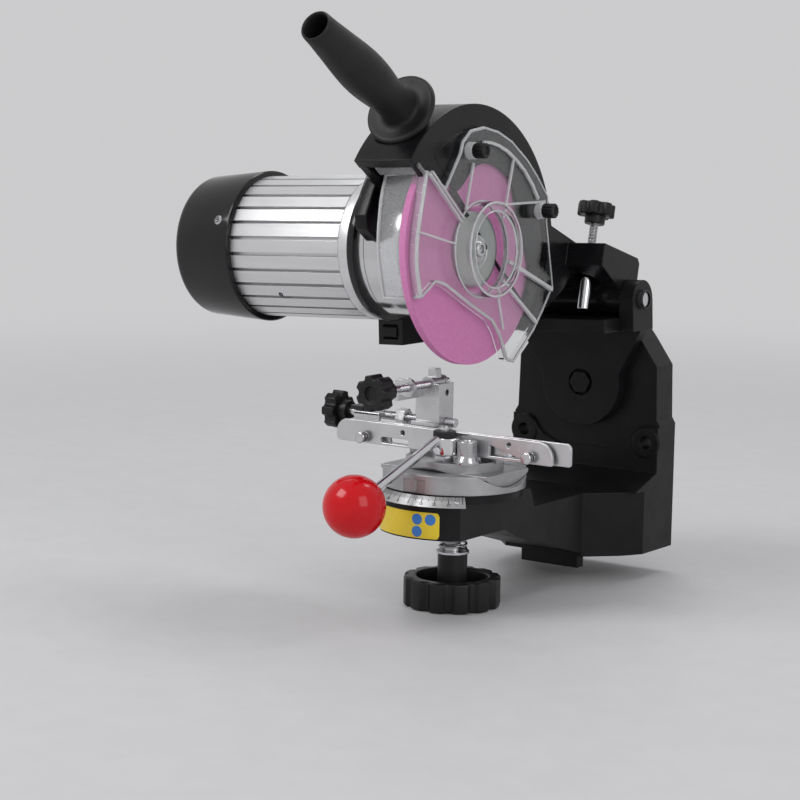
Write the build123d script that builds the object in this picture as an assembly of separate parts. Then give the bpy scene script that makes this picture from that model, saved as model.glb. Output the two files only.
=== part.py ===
"""Electric chainsaw sharpener: a bench chain grinder.

A swivelling, tilting grinding head stands over a rotating chain vise.

Millimetres. +X is the user's right, +Y is the back, +Z is up. The origin is the middle of the two
bench bolts in the back face of the base casting. The head is modelled upright and then leaned over
with the tilt swivel, because that is how it is set.
"""

import os
from math import atan2, cos, degrees, hypot, radians, sin, sqrt

from build123d import *

os.makedirs("parts", exist_ok=True)

# ---------------------------------------------------------------- driving dimensions
# clearances
body_gap = 0.3  # between two pieces that move past each other
shaft_fit = 0.05  # radial, a shaft turning in its own bore
thread_play = 0.08  # radial, a screw turning in its own thread
loose_play = 0.5  # radial, a bolt in a plain hole
cut_over = 1.0  # how far a cutting tool runs past the face that it cuts

# base casting
bolt_spacing = 96.6
bolt_hole_r = 4.25
bolt_boss_r = 11.0
wall_half = 57.5
wall_top_z = 81.0
wall_shoulder = ((55.0, 16.0), (54.0, 52.0), (41.0, 70.0))  # half widths and heights up its side
wall_thick = 22.0
wall_border = 2.0  # the raised border on the wall's front
wall_skin = 6.0
wall_corner_r = 8.0
border_top_z = -7.0
ledge_z = -20.0
foot_bottom_z = -73.0
foot_skin = 6.0
foot_front_y = -66.0
foot_flare_y = -40.0
arm_half = 30.0
arm_top_z = -30.0
hook_depth = 10.0
hook_half = 22.0
hook_thick = 8.0
vise_y = -184.0  # the vertical axis that the vise turns on
pad_r = 48.0
pad_top_z = -17.5
pad_bottom_z = -40.0
seat_r = 43.5
seat_top_z = -12.3

# scale and colour plate on the pad
scale_inner_r = 46.2
scale_outer_r = 51.0
scale_drop = 6.0
scale_thick = 1.0
scale_from_deg = -152.0
scale_to_deg = -48.0
colour_plate_thick = 0.8
colour_plate_z = (-39.0, -22.0)
colour_plate_deg = (-142.0, -66.0)
rivet_r = 1.5
rivet_angles = (-146.0, -54.0)

# turntable and its stud
disc_r = 45.5
disc_height = 11.7
saddle_r = 49.0
saddle_axis_z = 40.0
stud_r = 5.0
stud_flange_r = 11.0
stud_flange_t = 3.0
stud_length = 55.0

# lock knob under the arm
lock_knob_r = 31.0
lock_knob_height = 19.0
lock_knob_bottom_z = -90.0
lock_knob_skin = 4.0
lock_stem_r = 9.5
lock_stem_top_z = -56.5
lock_scallops = 12
lock_scallop_r = 4.0
lock_washer_t = 1.5
lock_spring_r = 8.6
lock_spring_wire = 1.6
lock_spring_turns = 4.0

# vise cradle and rails
cradle_r = 31.0
cradle_top_z = 5.5
cradle_keel_half = 40.0
rail_z = (8.5, 23.0)
rail_thick = 2.5
chain_gap = 2.2
chain_y = -190.0
front_rail_x = (-86.0, 78.0)
rear_rail_x = (-82.0, 88.0)
rail_end_r = 11.0
jaw_pin_r = 2.5
tab_depth = 8.0
jaw_pin_x = (-64.0, 62.0)
jaw_pin_z = 12.5
foot_block_x = (-27.0, 27.0)

# cam lever
cam_x = 4.0
cam_y = -202.0
cam_r = 8.1
cam_throw = 1.3  # how far the cam's centre stands off its post's axis
cam_collar_r = 7.1
cam_z = (9.5, 20.5)
cam_collar_h = 4.0
cam_nut_r = 6.5
cam_post_r = 3.0
lever_rod_r = 2.4
lever_z = 22.0  # where the lever's line crosses the cam's axis
lever_drop_deg = 27.5
lever_swing_deg = -14.0
lever_length = 82.0
ball_r = 19.5
post_x = 21.5
post_y = -202.5
post_r = 6.2
post_dome_r = 8.0
post_top_z = 20.0

# chain stop
upright_x = (-31.0, -13.0)
upright_y = (-183.5, -167.5)
upright_top_z = 50.0
upright_skin = 2.5
stop_screw_r = 3.0
stop_screw_y = -174.5
stop_screw_z = 25.0
stop_knob_r = 12.5
stop_knob_h = 15.0
stop_knob_x = -104.0
stop_nut_from_upright = 19.0
stop_nut_t = 7.0
screw_block_x = (-80.0, -71.0)
upright_bottom_z = 17.0
pawl_z = 49.6
pawl_x = -22.0
pawl_rise = 9.5
pawl_r = 4.6
ear_half = 5.0
arm_ear_r = 6.0
arm_drop = 9.0
side_knob_r = 11.5
side_knob_y = (-246.0, -226.0)
side_screw_past = 6.0
side_screw_r = 2.5
side_arm_t = 2.5
side_arm_y = -207.0

# tilt swivel
swivel_z = 38.0
swivel_r = 30.0
swivel_thick = 9.0
swivel_bolt_r = 5.0
swivel_knob_r = 17.0
swivel_knob_h = 12.0
knob_room_half = 32.0
head_lean_deg = -2.6
hinge_y = -35.5
hinge_z = 96.0
hinge_pin_r = 5.0
hinge_half = 41.0
ear_thick = 10.5
ear_r = 13.0
anvil_top_z = 84.3
anvil_front_y = -68.0

# head casting
wheel_x = 6.8  # the wheel's middle plane
wheel_y = -176.9
wheel_z = 136.4
wheel_r = 72.5
wheel_thick = 4.5
wheel_bore_r = 11.1
cover_r = 90.5
cover_skin = 7.0
cover_depth = (-36.0, 6.0)  # along the spindle, counted from the wheel's middle
cover_from_deg = -32.0
cover_to_deg = 141.0
cover_plate_t = 6.0
cover_lip_t = 3.0
cover_lip_r = 74.0
shell_ring_x = -55.5  # where the cover's back shell meets the motor's ring
shell_t = 5.0
cover_leg = (
    (-9.9, 66.2),
    (-22.5, 56.0),
    (-34.0, 39.8),
    (-53.1, 49.5),
    (-49.7, 56.6),
    (-44.0, 65.6),
    (-34.0, 80.0),
)
barrel_r = 12.0
arm_plate = (14.0, 29.0)  # across the arm, from the hinge axis
arm_reach = 60.0

# spindle and motor
shaft_r = 6.0
flange_r = 24.5
flange_t = 4.2
spindle_screw_r = 5.0
neck_r = 44.0
neck_skin = 4.0
neck_x = (-55.5, -20.0)
motor_ring_x = (-61.0, -55.5)
motor_ring_r = 47.2
motor_r = 46.3
motor_x = (-155.0, -61.0)
motor_plain = 6.0
motor_inner_r = 42.0
fin_count = 28
fin_depth = 1.8
fin_width = 3.0
cap_end_x = -203.0
cap_lip_r = 50.0
cap_lip_len = 8.0
cap_skin = 3.0
cap_bevel = 4.0
bearing_r = 13.0
bearing_t = 8.0
stator_x = (-128.0, -84.0)
stator_inner_r = 28.0
rotor_r = 27.4
coil_len = 10.0
commutator_x = (-154.0, -142.0)
commutator_r = 12.0
fan_x = (-176.0, -166.0)
fan_r = 38.0
fan_blades = 9
cap_screw_ring_r = 37.0
cap_screw_r = 3.2

# clear guard
guard_x = (8.0, 10.0)
guard_lip = 4.0
guard_ring_x = 21.5
guard_ring_r = (23.8, 30.0)
guard_boss_x = 14.5
guard_boss_r = 7.0
guard_skin = 2.0
guard_wall_back = -26.0
guard_wall_r = 75.8
guard_wall_deg = (142.0, 200.0)
thumb_nut_r = 7.0
thumb_nut_h = 9.0
thumb_nut_at = ((-12.0, 61.5), (68.0, 21.3))  # back from and above the spindle
guard_stud_r = 2.5

# handle
handle_x = -8.2
handle_at = (-47.0, 86.0)  # flange centre, back from and above the spindle
handle_rise_deg = 30.0
handle_len = 101.0
handle_flange_r = 23.5
handle_flange_t = 4.0
handle_boss_r = 12.5
handle_stud_r = 4.0
stud_in_cover = 15.0
stud_in_grip = 25.0
grip_hole_depth = 16.0

# switch box
box_x = (-80.0, -61.0)
box_y = (13.0, 37.0)
box_z = (-64.0, -32.0)
box_roof_z = -48.0
box_skin = 2.0
rocker_half = (5.5, 4.5)
rocker_t = 5.0
rocker_off_deg = -8.0
gland_r = 6.0
gland_len = 12.0

# depth stop
stop_u = 22.0  # forward of the hinge, along the arm
stop_x = 20.0
depth_rod_r = 3.0
depth_rod_v = (-6.0, 50.0)
depth_barrel_r = 4.2
depth_barrel_v = (-12.5, 10.5)
depth_foot_room = 3.5  # how far the foot can rise into the arm
depth_knob_r = 12.5
depth_knob_v = (46.0, 60.0)

# ---------------------------------------------------------------- worked-out places
wall_front_y = -wall_thick
swivel_back_y = wall_front_y - body_gap
swivel_front_y = swivel_back_y - swivel_thick
disc_bottom_z = seat_top_z + body_gap
disc_top_z = disc_bottom_z + disc_height
front_rail_y = chain_y - chain_gap / 2 - rail_thick
rear_rail_y = chain_y + chain_gap / 2
arm_angle = degrees(atan2(wheel_z - hinge_z, hinge_y - wheel_y))
arm_length = hypot(wheel_z - hinge_z, hinge_y - wheel_y)
lean_axis = Axis((0, 0, swivel_z), (0, 1, 0))


# ---------------------------------------------------------------- helpers
def box(x, y, z):
    """A block between the two limits given for each direction."""
    return Pos(
        (x[0] + x[1]) / 2, (y[0] + y[1]) / 2, (z[0] + z[1]) / 2
    ) * Box(x[1] - x[0], y[1] - y[0], z[1] - z[0])


def rod(start, end, radius):
    """A round bar from one point to another."""
    span = Vector(*end) - Vector(*start)
    return extrude(Plane(origin=start, z_dir=span) * Circle(radius), amount=span.length)


def tube(start, end, outer, inner):
    """A round tube from one point to another."""
    span = Vector(*end) - Vector(*start)
    ring = Circle(outer) - Circle(inner)
    return extrude(Plane(origin=start, z_dir=span) * ring, amount=span.length)


def prism(plane, points, amount):
    """A straight-sided outline, pushed along its plane's normal."""
    return extrude(plane * make_face(Polyline(*points, close=True)), amount=amount)


def on_x(x=0.0, y=0.0, z=0.0):
    """A plane that faces +X, with its own axes along +Y and +Z."""
    return Plane(origin=(x, y, z), x_dir=(0, 1, 0), z_dir=(1, 0, 0))


def on_y(y=0.0, x=0.0, z=0.0):
    """A plane that faces -Y, with its own axes along +X and +Z."""
    return Plane(origin=(x, y, z), x_dir=(1, 0, 0), z_dir=(0, -1, 0))


def polar(radius, angle_deg):
    """A point on a circle."""
    return (radius * cos(radians(angle_deg)), radius * sin(radians(angle_deg)))


def lobed(radius, lobes, bite):
    """The outline of a star knob: a circle with round bites out of its edge."""
    shape = Circle(radius)
    for index in range(lobes):
        x, y = polar(radius + bite * 0.45, 360.0 * index / lobes)
        shape -= Pos(x, y) * Circle(bite)
    return shape


def save(name, *solids):
    """Write the solids of one piece as one STEP file."""
    flat = [s for part in solids for s in part.solids()]
    export_step(flat[0] if len(flat) == 1 else Compound(children=flat), f"parts/{name}.step")


def save_leaned(name, *solids):
    """Write a piece of the swivelling head, leaned over to where the swivel is set."""
    save(name, *[part.rotate(lean_axis, head_lean_deg) for part in solids])


# ---------------------------------------------------------------- base
def base_casting():
    pad_side_y = vise_y - sqrt(pad_r**2 - arm_half**2)
    plan = make_face(
        Polyline(
            (arm_half, pad_side_y),
            (arm_half, foot_front_y + 10),
            (-arm_half, foot_front_y + 10),
            (-arm_half, pad_side_y),
        )
        + ThreePointArc((-arm_half, pad_side_y), (0, vise_y - pad_r), (arm_half, pad_side_y))
    )
    arm_block = extrude(Pos(0, 0, foot_bottom_z) * plan, amount=pad_top_z - foot_bottom_z)
    pad_back_y = vise_y + pad_r - 4
    side = [
        (vise_y - pad_r - 5, pad_top_z),
        (vise_y - pad_r - 5, pad_bottom_z),
        (vise_y + 14, pad_bottom_z),
        (vise_y + 32, pad_bottom_z - 8),
        (foot_front_y, foot_bottom_z),
        (foot_front_y + 20, foot_bottom_z),
        (foot_front_y + 20, arm_top_z),
        (pad_back_y + 5, arm_top_z),
        (pad_back_y, pad_top_z),
    ]
    arm = arm_block & prism(on_x(-arm_half), side, 2 * arm_half)
    flare = [
        (arm_half, foot_front_y - 8),
        (wall_half - 8, foot_front_y + 12),
        (wall_half, foot_flare_y),
        (wall_half, 0),
        (-wall_half, 0),
        (-wall_half, foot_flare_y),
        (-(wall_half - 8), foot_front_y + 12),
        (-arm_half, foot_front_y - 8),
    ]
    foot = prism(Plane.XY.offset(foot_bottom_z), flare, arm_top_z - foot_bottom_z)
    shelf_side = [
        (foot_flare_y - 12, arm_top_z),
        (wall_front_y - wall_border, ledge_z),
        (0, ledge_z),
        (0, arm_top_z),
    ]
    shelf = prism(on_x(-wall_half), shelf_side, 2 * wall_half)
    right_edge = [(wall_half, ledge_z - 8), (wall_half, wall_shoulder[0][1] - 4), *wall_shoulder]
    right_edge.append((wall_shoulder[-1][0] - 9, wall_top_z))
    wall_face = make_face(Polyline(*right_edge, *[(-x, z) for x, z in reversed(right_edge)], close=True))
    wall_face = fillet(wall_face.vertices().group_by(Axis.Y)[-1], wall_corner_r)
    wall = extrude(on_y(0) * wall_face, amount=wall_thick)
    border = [
        (-wall_half, ledge_z - 2),
        (wall_half, ledge_z - 2),
        (wall_half, border_top_z + 18),
        (wall_half - 12, border_top_z + 18),
        (wall_half - 25, border_top_z + 5),
        (wall_half - 37, border_top_z),
        (-(wall_half - 37), border_top_z),
        (-(wall_half - 25), border_top_z + 5),
        (-(wall_half - 12), border_top_z + 18),
        (-wall_half, border_top_z + 18),
    ]
    rim = prism(on_y(wall_front_y), border, wall_border)
    seat = Pos(0, vise_y, (pad_top_z + seat_top_z) / 2) * Cylinder(seat_r, seat_top_z - pad_top_z)
    hook = box(
        (-hook_half, hook_half),
        (foot_front_y, foot_front_y + hook_thick),
        (foot_bottom_z - hook_depth, foot_bottom_z),
    )
    body = arm + foot + shelf + wall + rim + seat + hook

    # the hollow foot, open below
    inner = [
        (arm_half - 8, foot_front_y + hook_thick + foot_skin),
        (wall_half - 8 - foot_skin, foot_front_y + 12 + foot_skin),
        (wall_half - foot_skin, foot_flare_y + 2),
        (wall_half - foot_skin, -foot_skin),
        (-(wall_half - foot_skin), -foot_skin),
        (-(wall_half - foot_skin), foot_flare_y + 2),
        (-(wall_half - 8 - foot_skin), foot_front_y + 12 + foot_skin),
        (-(arm_half - 8), foot_front_y + hook_thick + foot_skin),
    ]
    body -= prism(
        Plane.XY.offset(foot_bottom_z - cut_over),
        inner,
        arm_top_z - foot_skin - foot_bottom_z + cut_over,
    )
    # the hollow back of the wall, with its two bolt bosses left standing
    hollow = box(
        (-(wall_half - wall_skin), wall_half - wall_skin),
        (wall_front_y + wall_skin, cut_over),
        (arm_top_z + 4, wall_shoulder[1][1] - 4),
    )
    hollow += box(
        (-knob_room_half, knob_room_half),
        (wall_front_y + wall_skin, cut_over),
        (swivel_z, wall_shoulder[2][1] - 6),
    )
    for side_x in (-1, 1):
        at = side_x * bolt_spacing / 2
        hollow -= rod((at, wall_front_y, 0), (at, 2 * cut_over, 0), bolt_boss_r)
    body -= hollow
    for side_x in (-1, 1):
        at = side_x * bolt_spacing / 2
        body -= rod((at, wall_front_y - wall_border - cut_over, 0), (at, cut_over, 0), bolt_hole_r)
    # bores for the swivel bolt and the turntable stud
    swivel_bore = swivel_bolt_r + shaft_fit
    body -= rod((0, wall_front_y - cut_over, swivel_z), (0, 0, swivel_z), swivel_bore)
    body -= rod((0, vise_y, pad_bottom_z - cut_over), (0, vise_y, seat_top_z + cut_over), stud_r + shaft_fit)
    sunk = stud_flange_r + body_gap
    body -= rod((0, vise_y, seat_top_z - stud_flange_t - body_gap), (0, vise_y, seat_top_z + cut_over), sunk)
    return body


def cone_band(r_low, z_low, r_high, z_high, thick, angles):
    """A sloped or upright strip bent round the turntable's axis."""
    strip = Polyline(
        (r_low, z_low), (r_low + thick, z_low), (r_high + thick, z_high), (r_high, z_high), close=True
    )
    profile = Plane.XZ * make_face(strip)
    sweep_deg = angles[1] - angles[0]
    band = revolve(profile, Axis.Z, revolution_arc=sweep_deg)
    turned = band.rotate(Axis.Z, angles[0])
    return Pos(0, vise_y, 0) * turned


scale_z = (pad_top_z - 1.0, pad_top_z - 1.0 + scale_drop)
scale_plate = cone_band(
    scale_outer_r, scale_z[0], scale_inner_r, scale_z[1], scale_thick, (scale_from_deg, scale_to_deg)
)
bed_line = Polyline(
    (seat_r - 2, scale_z[0]),
    (scale_outer_r, scale_z[0]),
    (scale_inner_r, scale_z[1]),
    (seat_r - 2, scale_z[1]),
    close=True,
)
scale_bed = revolve(Plane.XZ * make_face(bed_line), Axis.Z, revolution_arc=scale_to_deg - scale_from_deg)
casting = base_casting() + Pos(0, vise_y, 0) * scale_bed.rotate(Axis.Z, scale_from_deg)
colour_plate = cone_band(
    pad_r, colour_plate_z[0], pad_r, colour_plate_z[1], colour_plate_thick, colour_plate_deg
)
colour_room = box((-arm_half, arm_half), (vise_y - 2 * pad_r, vise_y), (pad_bottom_z, pad_top_z))
colour_plate = colour_plate & colour_room
rivets = []
for rivet_deg in rivet_angles:
    mid_r = (scale_inner_r + scale_outer_r) / 2 + scale_thick
    mid_z = (scale_z[0] + scale_z[1]) / 2
    slope = atan2(scale_outer_r - scale_inner_r, scale_drop)
    rx, ry = polar(mid_r, rivet_deg)
    dx, dy = polar(cos(slope), rivet_deg)
    base_at = (rx, vise_y + ry, mid_z)
    tip_at = (rx + 0.9 * dx, vise_y + ry + 0.9 * dy, mid_z + 0.9 * sin(slope))
    rivets.append(rod(base_at, tip_at, rivet_r))
save("base_casting", casting)
save("angle_scale_plate", scale_plate)
save("scale_rivets", *rivets)
save("front_colour_plate", colour_plate)

pointer = prism(
    on_y(wall_front_y, -swivel_r - 1.2, swivel_z - 2.5),
    [(-6, -3), (-1.5, -3), (0.6, 0), (-1.5, 3), (-6, 3)],
    1.2,
)
save("tilt_pointer", pointer)

# ---------------------------------------------------------------- turntable
disc = Pos(0, vise_y, (disc_bottom_z + disc_top_z) / 2) * Cylinder(disc_r, disc_height)
disc -= rod((-disc_r - 1, vise_y, saddle_axis_z), (disc_r + 1, vise_y, saddle_axis_z), saddle_r + body_gap)
disc -= rod((0, vise_y, disc_bottom_z - 1), (0, vise_y, disc_top_z + 1), stud_r)
disc_notch = box((-8, 8), (vise_y - disc_r - 1, vise_y - disc_r + 1.2), (disc_bottom_z - 1, disc_top_z - 3))
disc -= disc_notch
disc += box((-1.2, 1.2), (vise_y - disc_r, vise_y - disc_r + 1.5), (disc_bottom_z + 1, disc_top_z - 3))
save("turntable_disc", disc)

saddle_floor_z = saddle_axis_z - saddle_r - body_gap
stud = rod((0, vise_y, disc_bottom_z - stud_length), (0, vise_y, saddle_floor_z - 0.2), stud_r)
stud += rod((0, vise_y, disc_bottom_z - stud_flange_t), (0, vise_y, disc_bottom_z), stud_flange_r)
save("turntable_stud", stud)

# ---------------------------------------------------------------- lock knob under the arm
lock_top_z = lock_knob_bottom_z + lock_knob_height
cup_face = lobed(lock_knob_r, lock_scallops, lock_scallop_r)
cup = extrude(Pos(0, vise_y, lock_knob_bottom_z) * cup_face, amount=lock_knob_height)
cup_hollow = rod(
    (0, vise_y, lock_knob_bottom_z + lock_knob_skin),
    (0, vise_y, lock_top_z + cut_over),
    lock_knob_r - 2 * lock_knob_skin,
)
cup -= cup_hollow
cup += rod((0, vise_y, lock_knob_bottom_z + 1), (0, vise_y, lock_stem_top_z), lock_stem_r)
cup -= rod(
    (0, vise_y, disc_bottom_z - stud_length - 4),
    (0, vise_y, lock_stem_top_z + 1),
    stud_r + thread_play,
)
save("vise_lock_knob", cup)

washer_top_z = lock_stem_top_z + lock_washer_t
washer = tube(
    (0, vise_y, lock_stem_top_z + 0.05),
    (0, vise_y, washer_top_z),
    lock_stem_r + 1,
    stud_r + loose_play,
)
save("lock_spring_washer", washer)


def coil(radius, wire, turns, z_low, z_high, x, y):
    """A round-wire compression spring standing on +Z."""
    height = z_high - z_low - wire
    helix = Helix(pitch=height / turns, height=height, radius=radius, center=(x, y, z_low + wire / 2))
    start = Plane(origin=helix @ 0, z_dir=helix % 0)
    return sweep(start * Circle(wire / 2), path=helix)


lock_spring = coil(
    lock_spring_r, lock_spring_wire, lock_spring_turns, washer_top_z + 0.1, pad_bottom_z - 0.1, 0, vise_y
)
save("lock_spring", lock_spring)

# ---------------------------------------------------------------- vise cradle and rear rail
keel = rod((-cradle_keel_half, vise_y, saddle_axis_z), (cradle_keel_half, vise_y, saddle_axis_z), saddle_r)
keel &= box((-cradle_keel_half, cradle_keel_half), (vise_y - 24, vise_y + 24), (-12, cradle_top_z - 6))
keel -= rod((0, vise_y, -20), (0, vise_y, saddle_floor_z + 3), stud_r + 2)
cradle = keel + Pos(0, vise_y, cradle_top_z - 3.5) * Cylinder(cradle_r, 7)
clear_disc = box((-disc_r, disc_r), (vise_y - disc_r, vise_y + disc_r), (-20, disc_top_z + body_gap))
clear_disc -= rod((-disc_r - 1, vise_y, saddle_axis_z), (disc_r + 1, vise_y, saddle_axis_z), saddle_r)
cradle -= clear_disc
cradle &= rod((-disc_r, vise_y, saddle_axis_z), (disc_r, vise_y, saddle_axis_z), saddle_r)
rear_rail_back_y = rear_rail_y + rail_thick
for block_x in foot_block_x:
    cradle += box(
        (block_x - 6, block_x + 6),
        (rear_rail_back_y, rear_rail_back_y + 9),
        (cradle_top_z - 1, rail_z[0] + 5),
    )
save("vise_cradle", cradle)


def rail_face(limits, slope_cut):
    """A rail seen from the front: a strip with one big round end and long windows."""
    low, high = rail_z
    outline = make_face(
        Polyline(
            (limits[0], low + 7),
            (limits[0] + 14, low),
            (limits[1], low),
            (limits[1], high - rail_end_r),
        )
        + RadiusArc((limits[1], high - rail_end_r), (limits[1] - rail_end_r, high), -rail_end_r)
        + Polyline(
            (limits[1] - rail_end_r, high),
            (limits[0] + 12, high),
            (limits[0], low + 13),
            (limits[0], low + 7),
        )
    )
    window = make_face(
        Polyline((slope_cut, low + 2), (slope_cut - 26, low + 9), (slope_cut - 26, low + 2), close=True)
    )
    slot = Pos(limits[0] + 46, low + 3.5) * Rectangle(22, 4)
    return outline - window - slot


front_rail = extrude(on_y(front_rail_y + rail_thick) * rail_face(front_rail_x, 58.0), amount=rail_thick)
rear_rail = extrude(on_y(rear_rail_y + rail_thick) * rail_face(rear_rail_x, 60.0), amount=rail_thick)
tab_x = (rear_rail_x[0] + 6, rear_rail_x[0] + 26)
rear_rail += box(tab_x, (rear_rail_y, rear_rail_y + rail_thick), (rail_z[1] - 3, rail_z[1] + 5))
rear_rail += box(tab_x, (rear_rail_y, rear_rail_y + tab_depth), (rail_z[1] + 3, rail_z[1] + 5))
pins = []
for pin_x in jaw_pin_x:
    pin_hole = rod(
        (pin_x, front_rail_y - 1, jaw_pin_z),
        (pin_x, front_rail_y + rail_thick + 1, jaw_pin_z),
        jaw_pin_r + body_gap,
    )
    front_rail -= pin_hole
    rear_rail -= rod(
        (pin_x, rear_rail_y - 1, jaw_pin_z),
        (pin_x, rear_rail_y + rail_thick + 1, jaw_pin_z),
        jaw_pin_r,
    )
    pin_body = rod(
        (pin_x, front_rail_y - 4.5, jaw_pin_z),
        (pin_x, rear_rail_y + rail_thick + 2, jaw_pin_z),
        jaw_pin_r,
    )
    pins.append(
        pin_body + rod(
            (pin_x, front_rail_y - 6, jaw_pin_z),
            (pin_x, front_rail_y - 4.5, jaw_pin_z),
            jaw_pin_r + 1.3,
        )
    )
save("front_rail", front_rail)
save("rear_rail", rear_rail)
save("jaw_guide_pins", *pins)

# cam post, guide post and the knuckle that locks the vise's own tilt
cam_post = rod((cam_x, cam_y, cradle_top_z), (cam_x, cam_y, cam_z[1] + cam_collar_h + 3.0), cam_post_r)
cam_post += extrude(
    Pos(cam_x, cam_y, cradle_top_z) * RegularPolygon(cam_nut_r, 6),
    amount=cam_z[0] - body_gap - cradle_top_z,
)
post_base_z = cradle_top_z
guide_post = rod((post_x, post_y, post_base_z + 5), (post_x, post_y, post_top_z), post_r)
dome = revolve(
    Plane.XZ
    * make_face(
        Polyline((0, 0), (post_dome_r, 0), (post_dome_r, 1.5), (post_r, 5), (0, 5), close=True)
    ),
    Axis.Z,
)
guide_dome = Pos(post_x, post_y, post_base_z) * dome
save("cam_post", cam_post)
save("guide_post", guide_post + guide_dome)

# ---------------------------------------------------------------- cam lever with its red ball
hub_low, hub_high = cam_z
cam_body = rod((cam_x + cam_throw, cam_y, hub_low), (cam_x + cam_throw, cam_y, hub_high), cam_r)
cam_body -= rod((cam_x, cam_y, hub_low - 1), (cam_x, cam_y, hub_high + 10), cam_post_r + shaft_fit)
collar = rod((cam_x, cam_y, hub_high), (cam_x, cam_y, hub_high + cam_collar_h), cam_collar_r)
collar -= rod((cam_x, cam_y, hub_high - 1), (cam_x, cam_y, hub_high + 10), cam_post_r + shaft_fit)
lever_dir = Vector(
    sin(radians(lever_swing_deg)) * cos(radians(lever_drop_deg)),
    -cos(radians(lever_swing_deg)) * cos(radians(lever_drop_deg)),
    -sin(radians(lever_drop_deg)),
)
lever_root = Vector(cam_x, cam_y, lever_z) + lever_dir * (cam_post_r + 2.0)
lever_tip = Vector(cam_x, cam_y, lever_z) + lever_dir * lever_length
ball_seat = lever_tip - lever_dir * (ball_r * 0.55)
lever_rod = rod(tuple(lever_root), tuple(ball_seat), lever_rod_r)
cam_body -= rod(tuple(lever_root), tuple(lever_tip), lever_rod_r)
collar -= rod(tuple(lever_root), tuple(lever_tip), lever_rod_r)
ball = Pos(*tuple(lever_tip)) * Sphere(ball_r)
ball -= rod(tuple(lever_root), tuple(ball_seat), lever_rod_r)
flat_cut = lever_tip - lever_dir * (ball_r * 0.96)
ball -= rod(tuple(flat_cut - lever_dir * ball_r), tuple(flat_cut), ball_r)
save("cam_hub", cam_body)
save("cam_collar", collar)
save("cam_lever_rod", lever_rod)
save("red_ball_knob", ball)

# ---------------------------------------------------------------- chain stop
up_low_z = rail_z[1] + body_gap
upright = box(upright_x, upright_y, (upright_bottom_z, upright_top_z))
upright -= box(
    (upright_x[0] + upright_skin, upright_x[1] - upright_skin),
    (upright_y[0] + upright_skin, upright_y[1] + 1),
    (upright_bottom_z + upright_skin, upright_top_z + 1),
)
hole_y = (upright_y[0] + upright_y[1]) / 2 + 1
upright -= rod(
    (upright_x[1] - 5, hole_y, upright_top_z - 6),
    (upright_x[1] + 1, hole_y, upright_top_z - 6),
    2.0,
)
upright += box(upright_x, (rear_rail_y, upright_y[0] + upright_skin), (up_low_z, up_low_z + upright_skin))
ear_x = (pawl_x - ear_half, pawl_x + ear_half)
rear_ear_y = (upright_y[1] - upright_skin, upright_y[1])
for ear_y in ((upright_y[0], upright_y[0] + upright_skin), rear_ear_y):
    upright += box(ear_x, ear_y, (upright_bottom_z, pawl_z))
    upright += rod((pawl_x, ear_y[0], pawl_z), (pawl_x, ear_y[1], pawl_z), ear_x[1] - pawl_x)
# the arm in front that steadies the long screw
arm_x = (upright_x[0], upright_x[0] + side_arm_t)
upright += box(arm_x, (side_arm_y, upright_y[0] + upright_skin), (pawl_z - arm_drop, pawl_z + 1))
upright += box(
    (arm_x[0], pawl_x),
    (side_arm_y, side_arm_y + side_arm_t),
    (pawl_z - ear_half, pawl_z + ear_half),
)
upright += rod((pawl_x, side_arm_y, pawl_z), (pawl_x, side_arm_y + side_arm_t, pawl_z), arm_ear_r)
screw_bore = side_screw_r + thread_play
upright -= rod((pawl_x, side_arm_y - 1, pawl_z), (pawl_x, upright_y[1] + 1, pawl_z), screw_bore)
screw_clear = stop_screw_r + thread_play
upright -= rod(
    (upright_x[0] - 1, stop_screw_y, stop_screw_z),
    (upright_x[1] + 1, stop_screw_y, stop_screw_z),
    screw_clear,
)
save("chain_stop_bracket", upright)
pawl_y = (upright_y[0] + upright_skin + body_gap, upright_y[1] - upright_skin - body_gap)
pawl = rod((pawl_x, pawl_y[0], pawl_z), (pawl_x, pawl_y[1], pawl_z), pawl_r)
finger = [
    (pawl_x - 3.0, pawl_z),
    (pawl_x + 3.6, pawl_z),
    (pawl_x + 2.0, pawl_z + pawl_rise),
    (pawl_x - 3.0, pawl_z + pawl_rise),
]
pawl += prism(on_y(pawl_y[1] - 2, 0, 0), finger, pawl_y[1] - pawl_y[0] - 4)
pawl -= rod((pawl_x, pawl_y[0] - 1, pawl_z), (pawl_x, pawl_y[1] + 1, pawl_z), side_screw_r + shaft_fit)
save("chain_pawl", pawl)


def star_knob(start, end, radius, bore):
    """A seven-lobed hand knob with a round hub and a blind bore in its far end."""
    span = Vector(*end) - Vector(*start)
    plane = Plane(origin=start, z_dir=span)
    knob = extrude(plane * lobed(radius, 7, radius * 0.24), amount=span.length * 0.72)
    knob += extrude(plane * Circle(radius * 0.56), amount=span.length)
    knob -= extrude(plane.offset(span.length * 0.35) * Circle(bore), amount=span.length)
    return knob


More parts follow.
